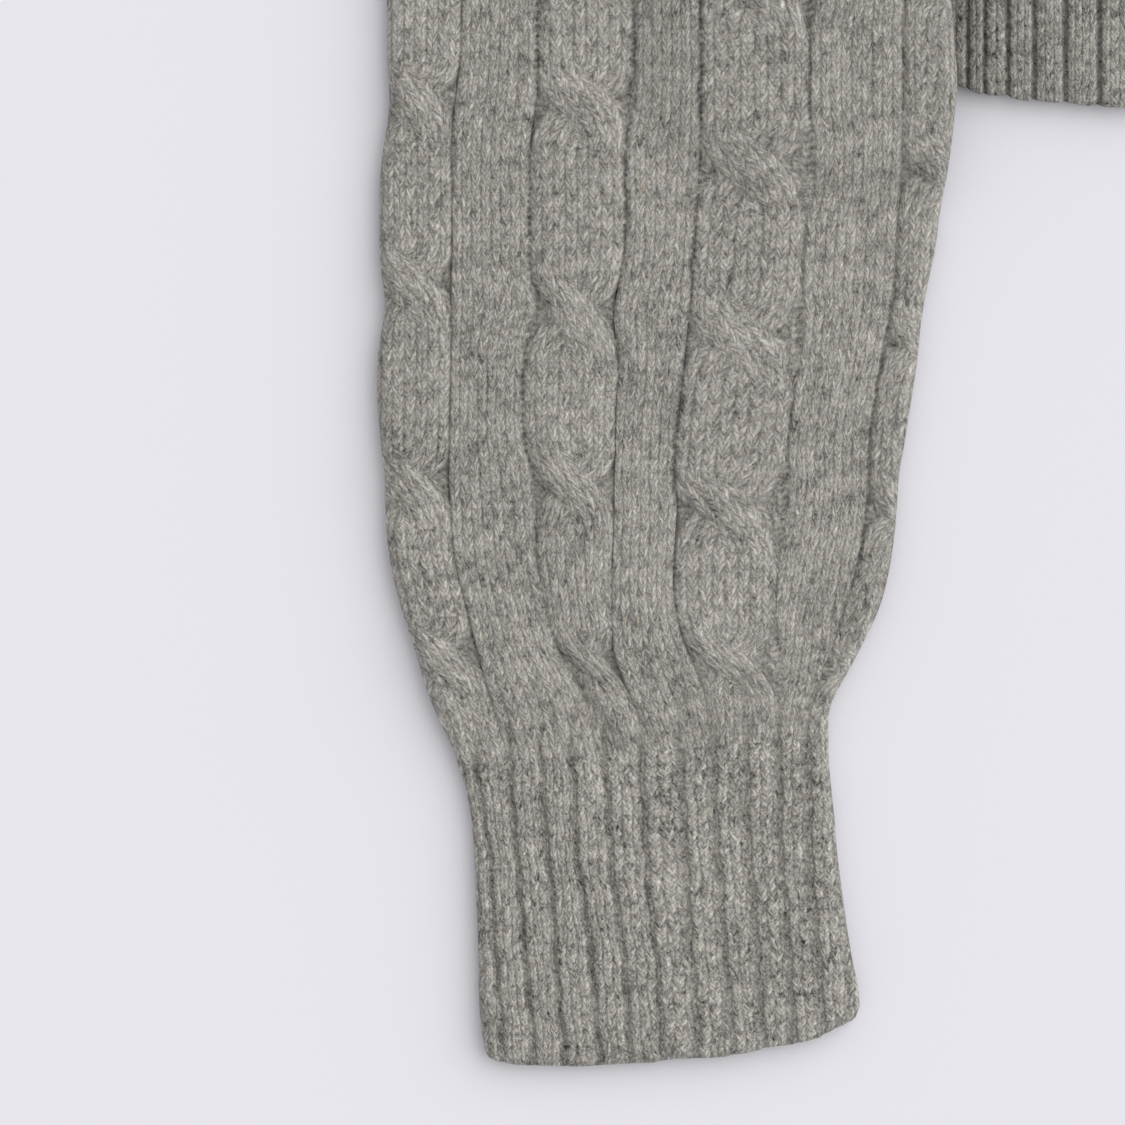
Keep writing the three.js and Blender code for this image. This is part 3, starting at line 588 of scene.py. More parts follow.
def wool(name, base, contrast=1.0, bump=0.00017, cloud=1.0, hollow_shade_strength=1.0, groove=0.50):
    """Heather wool in stitches: 'knit' uv is (wale, course), 'purl' turns the
    stitches into their back loops, and the depth attribute (how deep a point lies) darkens the colour there as
    painted shade."""
    mat, t, bsdf = new_material(name, 0.95, 0.12)
    uvn = t.nodes.new("ShaderNodeUVMap")
    uvn.uv_map = "knit"
    sep = t.nodes.new("ShaderNodeSeparateXYZ")
    t.links.new(uvn.outputs[0], sep.inputs[0])
    w, v = Sock(t, sep.outputs[0]), Sock(t, sep.outputs[1])
    att = lambda key: (lambda n: (setattr(n, "attribute_name", key), Sock(t, n.outputs["Fac"]))[1])(t.nodes.new("ShaderNodeAttribute"))
    purl, hollow_shade = att("purl"), att("hollow_shade")
    tc = t.nodes.new("ShaderNodeTexCoord")
    obj = tc.outputs["Object"]

    # a little wander, so that no two stitches are quite alike
    wob = noise(t, xyz(t, w * 0.9, v * 0.60, 3.3), 1.0, 2.0)
    wob2 = noise(t, xyz(t, w * 0.8, v * 0.65, 9.1), 1.0, 2.0)
    fuzz = noise(t, obj, 900.0, 3.0, 0.7)
    fuzz2 = noise(t, xyz(t, w * 4.4, v * 2.4, 4.0), 1.0, 3.0, 0.65)
    w2 = w + (wob - 0.5) * 0.34 + (fuzz - 0.5) * 0.30
    v2 = v + (wob2 - 0.5) * 1.0 + (fuzz2 - 0.5) * 0.7
    fw = w2.frac()
    side = fw.gt(0.5)
    q = ((fw - 0.5).abs() * 2.0)
    phi = v2 - q * 1.35 + side * 0.34
    leg = (phi.frac() * math.pi).sin()
    body = (q.rsub(1.0) * q * 4.0).mx(0.0).pow(0.4)     # full in the middle of a leg
    h_v = (leg.mx(0.0).pow(0.6) * 0.78 + 0.22) * (body * 0.65 + 0.35)
    h_v = h_v * (q.step(0.62, 1.0) * -groove + 1.0)     # between one wale and the next: lower for the bump, and darker in colour as painted shade
    # back loops: rows of short bars
    pb = (v2 + (fw * (2 * math.pi)).sin() * 0.22 + (fuzz - 0.5) * 0.5).frac() * math.pi
    h_p = pb.sin().mx(0.0).pow(0.7) * 0.55 + 0.12
    h = h_v.lerp(h_p, purl)
    # fibres and plies along the yarn
    ids = w2.floor() * 3.17 + side * 1.71
    along = noise(t, xyz(t, phi * 2.6, q * 1.6 + v2 * 0.5, ids), 1.0, 3.0, 0.7)
    across = noise(t, xyz(t, fw * 2.6, v2 * 4.0, 2.0), 1.0, 3.0, 0.68)
    fibre = along.lerp(across, purl)
    # heather: colour runs along the yarn, that is along the course
    mel = noise(t, xyz(t, w2 * 0.9, phi.floor() * 2.9 + side * 0.9, 1.0), 1.0, 2.0, 0.6)
    mel2 = noise(t, xyz(t, w2 * 2.3 + side * 5.0, phi * 1.15, 7.0), 1.0, 2.0, 0.6)
    streak = noise(t, xyz(t, w * 0.16, v.floor() * 1.9, 12.0), 1.0, 2.0, 0.55)
    big = noise(t, obj, 46.0, 3.0, 0.55)
    mid_c = noise(t, obj, 150.0, 2.0, 0.5)
    fine_c = noise(t, obj, 420.0, 2.0, 0.5)
    speck = noise(t, obj, 1000.0, 2.0, 0.6)
    grain = noise(t, obj, 2000.0, 2.0, 0.6)
    tone = ((mel - 0.5) * 1.6 + (mel2 - 0.5) * 1.3 + (fibre - 0.5) * 0.9 + (speck - 0.5) * 1.25 + (grain - 0.5) * 0.7) * contrast \
        + ((streak - 0.5) * 0.45 + (big - 0.5) * 0.50 + (mid_c - 0.5) * 0.60 + (fine_c - 0.5) * 0.90) * cloud
    # painted shade: the heather tone is darkened where the stitch height h is low, between loops and wales, and more
    # by the depth attribute in hollows
    shade = (h * 0.58 + 1.0 - 0.58 * 0.70) * (tone + 1.0) * (hollow_shade * (-0.46 * hollow_shade_strength) + 1.0)
    shade = shade.mx(0.05)
    # tint: the light fibres are warm, the dark ones cool
    warm = noise(t, xyz(t, w * 1.7, phi * 1.1, 21.0), 1.0, 1.0)
    tint = t.nodes.new("ShaderNodeMix")
    tint.data_type = "RGBA"
    t.links.new((warm.step(0.36, 0.66)).s, tint.inputs[0])
    cool = [base[0] * 0.975, base[1] * 0.992, base[2] * 1.012, 1]
    warmc = [base[0] * 1.022, base[1] * 1.006, base[2] * 0.980, 1]
    tint.inputs[6].default_value = cool
    tint.inputs[7].default_value = warmc
    # a rare ochre fleck
    fl = noise(t, xyz(t, w * 0.9, v * 0.8, 33.0), 1.0, 0.0)
    tint2 = t.nodes.new("ShaderNodeMix")
    tint2.data_type = "RGBA"
    t.links.new((fl.step(0.90, 0.92) * 0.8).s, tint2.inputs[0])
    t.links.new(tint.outputs[2], tint2.inputs[6])
    tint2.inputs[7].default_value = [base[0] * 1.35, base[1] * 1.02, base[2] * 0.62, 1]
    vm = t.nodes.new("ShaderNodeVectorMath")
    vm.operation = "SCALE"
    t.links.new(tint2.outputs[2], vm.inputs[0])
    t.links.new(shade.s, vm.inputs["Scale"])
    t.links.new(vm.outputs[0], bsdf.inputs["Base Color"])
    bp = t.nodes.new("ShaderNodeBump")
    bp.inputs["Strength"].default_value = 1.0
    bp.inputs["Distance"].default_value = bump
    height = h + (fibre - 0.5) * 0.35 + (grain - 0.5) * 0.12
    t.links.new(height.s, bp.inputs["Height"])
    t.links.new(bp.outputs[0], bsdf.inputs["Normal"])
    return mat


WOOL = (0.322, 0.306, 0.279)
M_CABLE = wool("cable_knit_wool", WOOL)
M_RIB = wool("rib_knit_wool", WOOL, groove=0.75, contrast=1.28)
M_FINE = wool("fine_rib_wool", tuple(c * 0.98 for c in WOOL), bump=0.00015)


# -------------------------------------------------------------- sleeve, cuff
def cuff_edges(s):
    """Edge points of the cuff at s: 0 at the seam, 1 at the end."""
    ly = mix(SEAM_L, -228.0, s)
    ry = mix(SEAM_R, -218.0, s)
    return lookup(LEFT, ly), ly, lookup(RIGHT, ry), ry


def tube(name, top_xyz, under_xyz, in_xyz, knit_top, knit_under, attrs_top, under_attr=None):
    """A flattened tube with a wall. top_xyz [rows, ct, 3] runs from the outer
    fold to the inner one, under_xyz [rows, cu, 3] back again; in_xyz is the
    inner surface, on fewer rows, with ct + cu columns."""
    rows, ct = top_xyz.shape[:2]
    cu = under_xyz.shape[1]
    n = ct + cu
    outer = np.concatenate([top_xyz, under_xyz], 1)
    ir = in_xyz.shape[0]
    co = np.concatenate([outer.reshape(-1, 3), in_xyz.reshape(-1, 3)])
    io = np.arange(rows * n).reshape(rows, n)
    ii = rows * n + np.arange(ir * n).reshape(ir, n)
    faces, knit, bake = [], [], []
    vv = np.linspace(0.01, 0.99, rows)[:, None]
    # top
    faces.append(grid_quads(io[:, :ct]))
    knit.append(knit_top)
    u = np.broadcast_to(np.linspace(0.005, 0.60, ct)[None], (rows, ct))
    bake.append(np.stack([corner(u), corner(np.broadcast_to(vv, (rows, ct)))], -1))
    # under, from the last top column round to the first
    iu = np.concatenate([io[:, ct - 1:], io[:, :1]], 1)
    faces.append(grid_quads(iu))
    knit.append(knit_under)
    u = np.broadcast_to(np.linspace(0.605, 0.895, cu + 2)[None], (rows, cu + 2))
    bake.append(np.stack([corner(u), corner(np.broadcast_to(vv, (rows, cu + 2)))], -1))
    # inside
    fi = grid_quads(ii, wrap=True)[:, ::-1]
    faces.append(fi)
    u = np.broadcast_to(np.linspace(0.90, 0.97, n + 1)[None], (ir, n + 1))
    vi = np.broadcast_to(np.linspace(0.01, 0.99, ir)[:, None], (ir, n + 1))
    bi = np.stack([corner(u), corner(vi)], -1)[:, ::-1]
    bake.append(bi)
    wi = np.broadcast_to(np.arange(n + 1)[None] * 0.25, (ir, n + 1))
    vi2 = np.broadcast_to(np.linspace(0, 300, ir)[:, None], (ir, n + 1))
    knit.append(np.stack([corner(wi), corner(vi2)], -1)[:, ::-1])
    # rims
    for r_o, r_i, flip in ((0, 0, False), (rows - 1, ir - 1, True)):
        ring = np.stack([io[r_o], ii[r_i]])
        fr = grid_quads(ring, wrap=True)
        u = np.broadcast_to(np.linspace(0.0, 1.0, n + 1)[None], (2, n + 1)) * 0.9 + 0.03
        v0 = 0.0 if not flip else 0.992
        v1 = np.array([[v0], [v0 + 0.006]]) * np.ones((1, n + 1))
        bf = np.stack([corner(0.975 + 0.02 * (u - 0.03) / 0.9), corner(v1 * 0 + np.array([[v0], [v0 + 0.008]]))], -1)
        wr = np.broadcast_to(np.arange(n + 1)[None] * 0.25, (2, n + 1))
        vr = np.array([[0.0], [1.5]]) * np.ones((1, n + 1))
        kf = np.stack([corner(wr), corner(vr)], -1)
        if not flip:
            fr, bf, kf = fr[:, ::-1], bf[:, ::-1], kf[:, ::-1]
        faces.append(fr)
        bake.append(bf)
        knit.append(kf)
    attrs = {}
    for key, val in attrs_top.items():
        full = np.zeros((rows, n))
        full[:, :ct] = val
        if under_attr and key in under_attr:
            full[:, ct:] = under_attr[key]
        # painted shade: the inside surface gets an even darkening, and its stitches show as back loops
        attrs[key] = np.concatenate([full.ravel(), np.full(ir * n, 0.35 if key == "hollow_shade" else 1.0)])
    return build(name, co, np.concatenate(faces), np.concatenate(knit), np.concatenate(bake), attrs)


def rounding(e, r):
    return np.where(e >= r, 1.0, np.sqrt(np.maximum(0.0, 1 - (1 - np.minimum(e, r) / r) ** 2)))


def squeeze(xi, width, b=3.0):
    """Softly keeps positions within 0..width, bunching those beyond."""
    lo = np.where(xi < b, b * np.exp(np.minimum(xi - b, 0) / b), xi)
    hi = width - lo
    hi = np.where(hi < b, b * np.exp(np.minimum(hi - b, 0) / b), hi)
    return width - hi


def sleeve(name, sign, fine):
    """sign -1 is the wearer's right sleeve, at -x."""
    if fine:
        rows = np.concatenate([np.linspace(SEAM_L - 0.02, 27, 240), np.linspace(29.8, 345, 112)])
        per = 4
    else:
        rows = np.concatenate([np.linspace(SEAM_L - 0.02, -100, 40), np.linspace(-98.4, 345, 222)])
        per = 2
    cross_sign = 1 if sign < 0 else -1
    lx, ly, rx, ry = sleeve_rows(rows)
    width = np.hypot(rx - lx, ry - ly)
    cuts, scale = furrow_places(rows, width)
    fw, fd = 0.22, ditch(rows)
    nodes, counts = [cuts[0] - fw - 22 * scale], []

    def add(pos, count):
        nodes.append(pos)
        counts.append(count)
    add(cuts[0] - fw, 8 * per)
    add(cuts[0] + fw, 3)
    add(cuts[1] - fw, 8 * per)
    add(cuts[1] + fw, 3)
    add(cuts[2] - fw, 8 * per)
    add(cuts[2] + fw, 3)
    add(cuts[3] - fw, 7 * per)
    add(cuts[3] + fw, 3)
    add(cuts[4] - fd, 8 * per)
    add(cuts[4] + fd, 6)
    add(cuts[5] - fw, 9 * per)
    add(cuts[5] + fw, 3)
    add(cuts[5] + fw + 13.5 * scale, 5 * per)
    cols = []
    for k, count in enumerate(counts):
        f = np.arange(count + (1 if k == len(counts) - 1 else 0)) / count
        cols.append(nodes[k][:, None] + (nodes[k + 1] - nodes[k])[:, None] * f[None])
    xi = np.concatenate(cols, 1)
    W = width[:, None]
    xi = squeeze(xi, W)
    # the first and last columns lie on the folds themselves
    lo, hi = xi[:, :1], xi[:, -1:]
    xi = (xi - lo) / (hi - lo) * W
    frac = xi / W
    T = np.broadcast_to(rows[:, None], xi.shape)
    f = sleeve_field(T, frac, W, sign=cross_sign)
    x = lx[:, None] + (rx - lx)[:, None] * frac
    y = ly[:, None] + (ry - ly)[:, None] * frac
    if fine:
        f.ridges(0.20)
    relief = f.z - 0.15
    # gathers over the cuff: its furrows run on up into the sleeve, fading
    ph = rib_phase(x, y)
    rz, rp, rw = rib_relief(ph, y)
    seam = mix(SEAM_L, SEAM_R, frac)
    up = y - seam                                    # height above the seam
    g = smooth((17.0 - up) / 17.0)
    pull = smooth((26.0 - up) / 26.0)
    relief = relief * mix(0.50, 1.0, smooth((up - 4) / 30.0))
    relief = mix(relief, rz + 0.25, smooth((7.0 - up) / 7.0))
    relief = relief + 0.75 * rz * g * (1 - smooth((7.0 - up) / 7.0))
    gx = lookup([(-157, -225.2), (-150, -228.8), (-143.3, -232.1), (-136.9, -236.2), (-131, -241.0)], y)
    on = smooth((-134 - y) / 8.0) * smooth((up - 0.3) / 4.0)
    relief = relief + on * (1.15 * np.exp(-((x - gx) / 2.7) ** 4) - 0.75 * np.exp(-((x - gx + 4.6) / 1.3) ** 2)
                            - 0.45 * np.exp(-((x - gx - 4.2) / 1.2) ** 2))
    # a small pocket pressed in beside the gathered cable
    dip = lookup([(-143.4, -228.3), (-135.1, -230.4), (-123.7, -238.3)], y)
    dip = np.exp(-((x - dip) / 1.1) ** 2) * np.exp(-((y + 133.5) / 6.0) ** 2)
    relief = relief - 0.75 * dip
    puff = 1.5 * np.exp(-((up - 24) / 20.0) ** 2) * np.sin(np.pi * clamp01(frac)) ** 0.7 * smooth(up / 8)
    puff = puff + 0.35 * np.sin(frac * 31 + 1.3 * np.sin(frac * 9)) * np.exp(-((up - 18) / 12.0) ** 2)
    # soft swells of the fabric lying loose
    wave = 0.45 * np.sin(x * 0.045 + y * 0.021 + 1.0) + 0.35 * np.sin(x * 0.03 - y * 0.043)
    tuck = lambda fr: 3.6 * smooth((rows[:, None] - 306) / 34) * smooth((fr - 0.45) / 0.45)
    thick = SLEEVE_THICK - 0.6 * smooth((6 - up) / 6) - tuck(frac)
    r = thick / 2
    e = np.minimum(xi, W - xi)
    rd = rounding(e, 3.3)
    base = base_height(x, y)
    z = base + r + rd * r + (relief + wave * smooth((y + 150) / 40)) * smooth((e - 0.3) / 2.2) + puff
    # painted shade: the colour is darkened in the relief's hollows, in the gathered ribs' valleys and in the pocket
    # beside the gathered cable
    hollow_shade = hollow(f.z + 0.75 * rz * g, (rows[1] - rows[0]), 0.6)
    hollow_shade = np.maximum(hollow_shade * (1 - 0.65 * pull), (0.30 * hollow(rz, 0.7, 0.5, 1.8) + 0.40 * clamp01(-rz - 0.40)) * g ** 1.5)
    hollow_shade = clamp01(hollow_shade + 0.55 * dip)
    top = np.stack([x, y, z], -1)
    cu = 20
    fu = np.linspace(1, 0, cu + 2)[1:-1][None] * np.ones((len(rows), 1))
    fu = 0.5 - 0.5 * np.cos(np.pi * fu) * (0.88 + 0.12 * np.abs(np.cos(np.pi * fu)))
    xu = lx[:, None] + (rx - lx)[:, None] * fu
    yu = ly[:, None] + (ry - ly)[:, None] * fu
    eu = np.minimum(fu, 1 - fu) * W
    ru = r[:, :1] - tuck(fu) / 2
    zu = base_height(xu, yu) + ru - rounding(eu, 3.3) * ru
    under = np.stack([xu, yu, zu], -1)
    # inside: the same columns drawn in by the wall
    pick = np.unique(np.round(np.linspace(0, len(rows) - 1, 12)).astype(int))
    fin = np.concatenate([frac[pick], fu[pick]], 1)
    isup = np.concatenate([np.ones((len(pick), xi.shape[1])), -np.ones((len(pick), cu))], 1)
    Wp = W[pick]
    si = WALL + fin * (Wp - 2 * WALL)
    xin = lx[pick][:, None] + (rx - lx)[pick][:, None] * si / Wp
    yin = ly[pick][:, None] + (ry - ly)[pick][:, None] * si / Wp
    slot = 0.45
    tin = np.concatenate([tuck(frac), tuck(fu)], 1)[pick] / 2
    ei = np.minimum(si - WALL, Wp - WALL - si)
    isup[:, 0] = isup[:, xi.shape[1] - 1] = 0
    zin = base_height(xin, yin) + r[pick][:, :1] - tin + isup * slot * rounding(ei, 1.2)
    inner = np.stack([xin, yin, zin], -1)
    ku = np.stack([corner(np.broadcast_to(np.linspace(0, W.max() / WALE, cu + 2)[None], (len(rows), cu + 2))),
                   corner(np.broadcast_to(rows[:, None] / COURSE, (len(rows), cu + 2)))], -1)
    knit = f.knit_corners()
    for arr in (top, under, inner):
        if sign > 0:
            arr[..., 0] *= -1
    return tube(name, top, under, inner, knit, ku, {"hollow_shade": hollow_shade, "purl": np.maximum(f.purl * (1 - g), rp * g)},
                {"hollow_shade": 0.0, "purl": 0.0})


def cuff(name, sign, fine):
    rows_n, step = (104, 0.5) if fine else (60, 1.0)
    s = np.linspace(0, 1, rows_n)
    lx, ly, rx, ry = cuff_edges(s)
    width = np.hypot(rx - lx, ry - ly)
    nct = int(90 / step)
    base_f = np.linspace(0, 1, nct + 1)
    # columns evenly spaced across
    frac = base_f[None] * np.ones((rows_n, 1))
    # rows bend to the real end edge
    ends = np.array(CUFF_END)
    x = lx[:, None] + (rx - lx)[:, None] * frac
    y0 = ly[:, None] + (ry - ly)[:, None] * frac
    y_last = np.interp(x[-1], ends[:, 0], ends[:, 1])
    ph_end = rib_phase(x[-1], y_last)
    scallop = 0.28 * np.exp(-(((ph_end + 0.07) % 1.0 - 0.07) / 0.10) ** 2)
    y_last = y_last + scallop
    # its two corners are rounded
    y_last = y_last + 2.1 * clamp01(1 - (rx[-1] - x[-1]) / 4.5) ** 2 + 1.3 * clamp01(1 - (x[-1] - lx[-1]) / 3.5) ** 2
    k = smooth((s - 0.15) / 0.85)[:, None]
    y = y0 + (y_last - y0[-1])[None] * k
    y = y - 0.0
    xi = frac * width[:, None]
    ph = rib_phase(x, y)
    rz, rp, rw = rib_relief(ph, y)
    end = (y - y[-1][None])                              # distance to the end edge
    r = CUFF_THICK / 2
    e = np.minimum(xi, width[:, None] - xi)
    rd = rounding(e, 3.3)
    roll = rounding(end + 0.02, 1.6)
    T = y / RIB_COURSE
    wal = wale_ridge(rw) * (1 - rp)
    course = np.abs(np.sin(np.pi * T))
    relief = rz * (0.75 + 0.25 * smooth(end / 6)) + (0.34 if fine else 0.0) * (wal - 0.5) \
        + rp * 0.16 * (course - 0.5) + 0.25
    swell = 0.35 * np.sin(x * 0.06 + 0.4) * np.sin(y * 0.05)
    swell = swell * smooth(s / 0.3)[:, None]
    z = r + rd * r * (0.30 + 0.70 * roll) + (relief + swell) * smooth((e - 0.3) / 2.2) * (0.35 + 0.65 * roll)
    # painted shade: the colour is darkened in the rib valleys
    hollow_shade = clamp01(hollow(rz, 0.7, step, 1.8) * 0.62 + 0.44 * clamp01(-rz - 0.40) + 0.05 * rp)
    top = np.stack([x, y, z], -1)
    cu = 96
    fu = np.linspace(1, 0, cu + 2)[1:-1][None] * np.ones((rows_n, 1))
    xu = lx[:, None] + (rx - lx)[:, None] * fu
    yu0 = ly[:, None] + (ry - ly)[:, None] * fu
    yl = np.interp(xu[-1], ends[:, 0], ends[:, 1])
    yu = yu0 + (yl - yu0[-1])[None] * k
    eu = np.minimum(fu, 1 - fu) * width[:, None]
    rollu = rounding((yu - yu[-1][None]) + 0.02, 1.6)
    zu = r - rounding(eu, 3.0) * r * (0.30 + 0.70 * rollu)
    ru, pu, wu = rib_relief(rib_phase(xu, yu), yu, 0.0)
    zu = zu + 0.45 * clamp01(-ru) * smooth((eu - 1.0) / 3.0)           # its valleys, above the flat crowns
    # painted shade in the rib valleys of the underside
    hollow_shade_under = clamp01(0.45 * clamp01(-ru - 0.2)) * smooth((eu - 1.0) / 3.0)
    under = np.stack([xu, yu, zu], -1)
    pick = np.unique(np.round(np.linspace(0, rows_n - 1, 10)).astype(int))
    fin = np.concatenate([frac[pick], fu[pick]], 1)
    isup = np.concatenate([np.ones((len(pick), frac.shape[1])), -np.ones((len(pick), cu))], 1)
    isup[:, 0] = isup[:, frac.shape[1] - 1] = 0
    Wp = width[pick][:, None]
    si = CUFF_WALL + fin * (Wp - 2 * CUFF_WALL)
    xin = lx[pick][:, None] + (rx - lx)[pick][:, None] * si / Wp
    yin = np.concatenate([y[pick], yu[pick]], 1)
    ei = np.minimum(si - CUFF_WALL, Wp - CUFF_WALL - si)
    zin = r + isup * 0.40 * rounding(ei, 1.2)
    inner = np.stack([xin, yin, zin], -1)
    knit = np.stack([corner(rw + 0.0), corner(T)], -1)
    # a face never spans two ribs' stitch counts
    lowest = knit[..., 0].min(1)[:, None]
    knit[..., 0] = np.where(knit[..., 0] > lowest + 4, lowest + 0.30, knit[..., 0])
    ku = np.stack([corner(np.broadcast_to(np.linspace(0, 36, cu + 2)[None], (rows_n, cu + 2))),
                   corner(np.broadcast_to(np.linspace(0, -40, rows_n)[:, None], (rows_n, cu + 2)))], -1)
    # rib ends show a thin rolled edge
    for arr in (top, under, inner):
        if sign > 0:
            arr[..., 0] *= -1
    return tube(name, top, under, inner, knit, ku, {"hollow_shade": hollow_shade, "purl": 0.35 * rp}, {"hollow_shade": hollow_shade_under, "purl": 0.0})


# ---------------------------------------------------------------- flat pieces
def slab(name, x, y, z_top, z_low, knit, attrs, skip=None):
    """A closed sheet on a grid: upper and lower surfaces and a rim round the
    outline. skip [rows - 1, cols - 1] marks quads left out (an opening)."""
    rows, cols = x.shape
    n = rows * cols
    top = np.stack([x, y, z_top], -1).reshape(-1, 3)
    low = np.stack([x, y, z_low], -1).reshape(-1, 3)
    idx = np.arange(n).reshape(rows, cols)
    q = grid_quads(idx)
    keep = np.ones(len(q), bool) if skip is None else ~skip.ravel()
    lx0, lx1, ly0, ly1 = x.min(), x.max(), y.min(), y.max()
    side = max(lx1 - lx0, (ly1 - ly0))
    u = (x - lx0) / side * 0.49
    v = (y - ly0) / side * 0.97
    bt = np.stack([corner(0.005 + u), corner(0.015 + v)], -1)
    bl = np.stack([corner(0.505 + u), corner(0.015 + v)], -1)
    faces = [q[keep], (q + n)[keep][:, ::-1]]
    bake = [bt[keep], bl[keep][:, ::-1]]
    kn = [knit[keep], knit[keep][:, ::-1]]
    # rim: edges used by one kept quad only
    qq = q[keep]
    e = np.concatenate([qq[:, [0, 1]], qq[:, [1, 2]], qq[:, [2, 3]], qq[:, [3, 0]]])
    kc = knit[keep]
    ke = np.concatenate([kc[:, [0, 1]], kc[:, [1, 2]], kc[:, [2, 3]], kc[:, [3, 0]]])
    key = np.sort(e, 1)
    code = key[:, 0] * n + key[:, 1]
    _, inv, cnt = np.unique(code, return_inverse=True, return_counts=True)
    solo = cnt[inv.ravel()] == 1
    er, kr = e[solo], ke[solo]
    rim = np.stack([er[:, 1], er[:, 0], er[:, 0] + n, er[:, 1] + n], -1)
    faces.append(rim)
    kn.append(np.stack([kr[:, 1], kr[:, 0], kr[:, 0] + [0, 1.2], kr[:, 1] + [0, 1.2]], 1))
    m = len(er)
    a = np.arange(m) / m * 0.99
    bake.append(np.stack([np.stack([a, a * 0], -1), np.stack([a + 0.9 / m, a * 0], -1),
                          np.stack([a + 0.9 / m, a * 0 + 0.01], -1), np.stack([a, a * 0 + 0.01], -1)], 1))
    full = {k: np.concatenate([np.broadcast_to(t, x.shape).ravel(), np.broadcast_to(l, x.shape).ravel()])
            for k, (t, l) in attrs.items()}
    return build(name, np.concatenate([top, low]), np.concatenate(faces), np.concatenate(kn), np.concatenate(bake), full)


HEM_F = [-147.6, -143.6, -138.1, -131.9, -124.5, -116.4, -108.8]
_left = [HEM_F[0] - 5.6 * (i + 1) for i in range(10)][::-1]
_mid = list(np.linspace(HEM_F[-1], 108.8, 30))[1:-1]
HEM_FURROWS = np.array(_left + HEM_F + _mid + [-v for v in HEM_F][::-1] + [-v for v in _left][::-1])
HEM_END = [(-152.0, 5.3), (-150.0, 4.8), (-148.8, 4.3), (-146.9, 3.6), (-144.5, 2.6), (-142.1, 2.4), (-138.6, 2.3), (-135.5, 1.4), (-132.6, 1.0), (-130.2, 1.1), (-125.5, 0.5), (-122.6, 0.5), (-119.5, 0.0), (-117.1, -0.2), (-110.2, -0.6), (-100, -0.4), (-85, 0.0)]


def hem_phase(x):
    f = HEM_FURROWS
    return clamp01((np.asarray(x)[..., None] - f[:-1]) / (f[1:] - f[:-1])).sum(-1)


def hem(name, front):
    if front:
        xs = np.concatenate([np.arange(-203, -160, 1.3), np.arange(-160, -104, 0.45), np.arange(-104, 203, 1.25), [203]])
        tv = np.concatenate([np.linspace(0, 26, 37), np.linspace(28.5, 62, 14)]) / 62
    else:
        xs = np.concatenate([np.arange(-203, -155, 1.8), np.arange(-155, -83, 0.7), np.arange(-83, 203, 1.8), [203]])
        tv = np.concatenate([np.linspace(0, 3, 4), np.linspace(6, 62, 16)]) / 62
    tv, xs = tv[:, None], xs[None]
    xl = xs * (HEM_HALF / 203)
    xx = mix(xl, xs, tv)
    y_low = hem_rise(xl)
    he = np.array(HEM_END)
    meas = np.interp(xl, he[:, 0], he[:, 1])
    y_low = np.where((xl > -152) & (xl < -85), meas, y_low) + (0.0 if front else 0.35)
    ph_low = hem_phase(xl)
    y_low = y_low + 0.5 * np.exp(-((((ph_low + 0.5) % 1.0) - 0.5) / 0.13) ** 2)
    yy = mix(y_low, hem_top(xs), tv)
    ph = hem_phase(xx)
    n = np.floor(ph)
    fr = ph - n
    gapw = HEM_FURROWS[1:] - HEM_FURROWS[:-1]
    wide = gapw[np.clip(n.astype(int), 0, len(gapw) - 1)]
    # the rib leans: its right-hand column is highest
    u = (fr - 0.53) / 0.42
    crown = 0.40 * u - 0.10 - 0.30 * np.abs(u) ** 3.0
    up = smooth((1.20 - np.abs(u)) / 0.34)
    rz = mix(-1.25, crown, up)
    end = yy - yy[:1]
    roll = rounding(end + 0.02, 1.5)
    z0 = WALL + GAP if front else 0.0
    w = n * 10 + clamp01((fr - 0.11) / 0.84) * np.round(np.maximum(2, wide / 2.3))
    T = yy / RIB_COURSE
    fine = 0.18 * (wale_ridge(w) - 0.5)
    if front:
        z_top = z0 + WALL - 0.45 + (rz + fine) * (0.45 + 0.55 * roll) - 0.9 * (1 - roll)
        z_low = z0 + 0.0 * xx + 0.5 * (1 - roll)
        # painted shade: the colour is darkened in the rib valleys
        hollow_shade = clamp01(0.95 * hollow(rz * np.ones_like(xx), 0.7, 0.6, 1.6) + 0.60 * clamp01(-rz - 0.25))
        # painted shade over the whole hem, deepest beside the sleeve's fold
        side = smooth((12.0 - (np.abs(xx) - 150) * -1) / 12.0)
        hollow_shade = clamp01(hollow_shade + 0.10 + 0.46 * side)
        attrs = {"hollow_shade": (hollow_shade, 0.2), "purl": (0.0, 0.0)}
    else:
        z_top = z0 + WALL + 0.0 * xx - 0.2
        z_low = z0 + 0.55 + (-rz) * 0.35 + 0.0 * xx
        # painted shade: even on the back hem's top, deeper in the rib valleys beneath
        attrs = {"hollow_shade": (0.2, clamp01(-rz * 0.5)), "purl": (0.0, 0.0)}
    knit = np.stack([corner(w), corner(T)], -1)
    jump = np.ptp(knit[..., 0], axis=1) > 5
    knit[jump, :, 0] = knit[jump, :, 0].min(1)[:, None]
    return slab(name, xx, yy, z_top, z_low, knit, attrs)


def neck_y_front(x):
    return HPS[1] - FRONT_NECK_DEPTH * np.sqrt(np.maximum(0, 1 - (x / HPS[0]) ** 2))


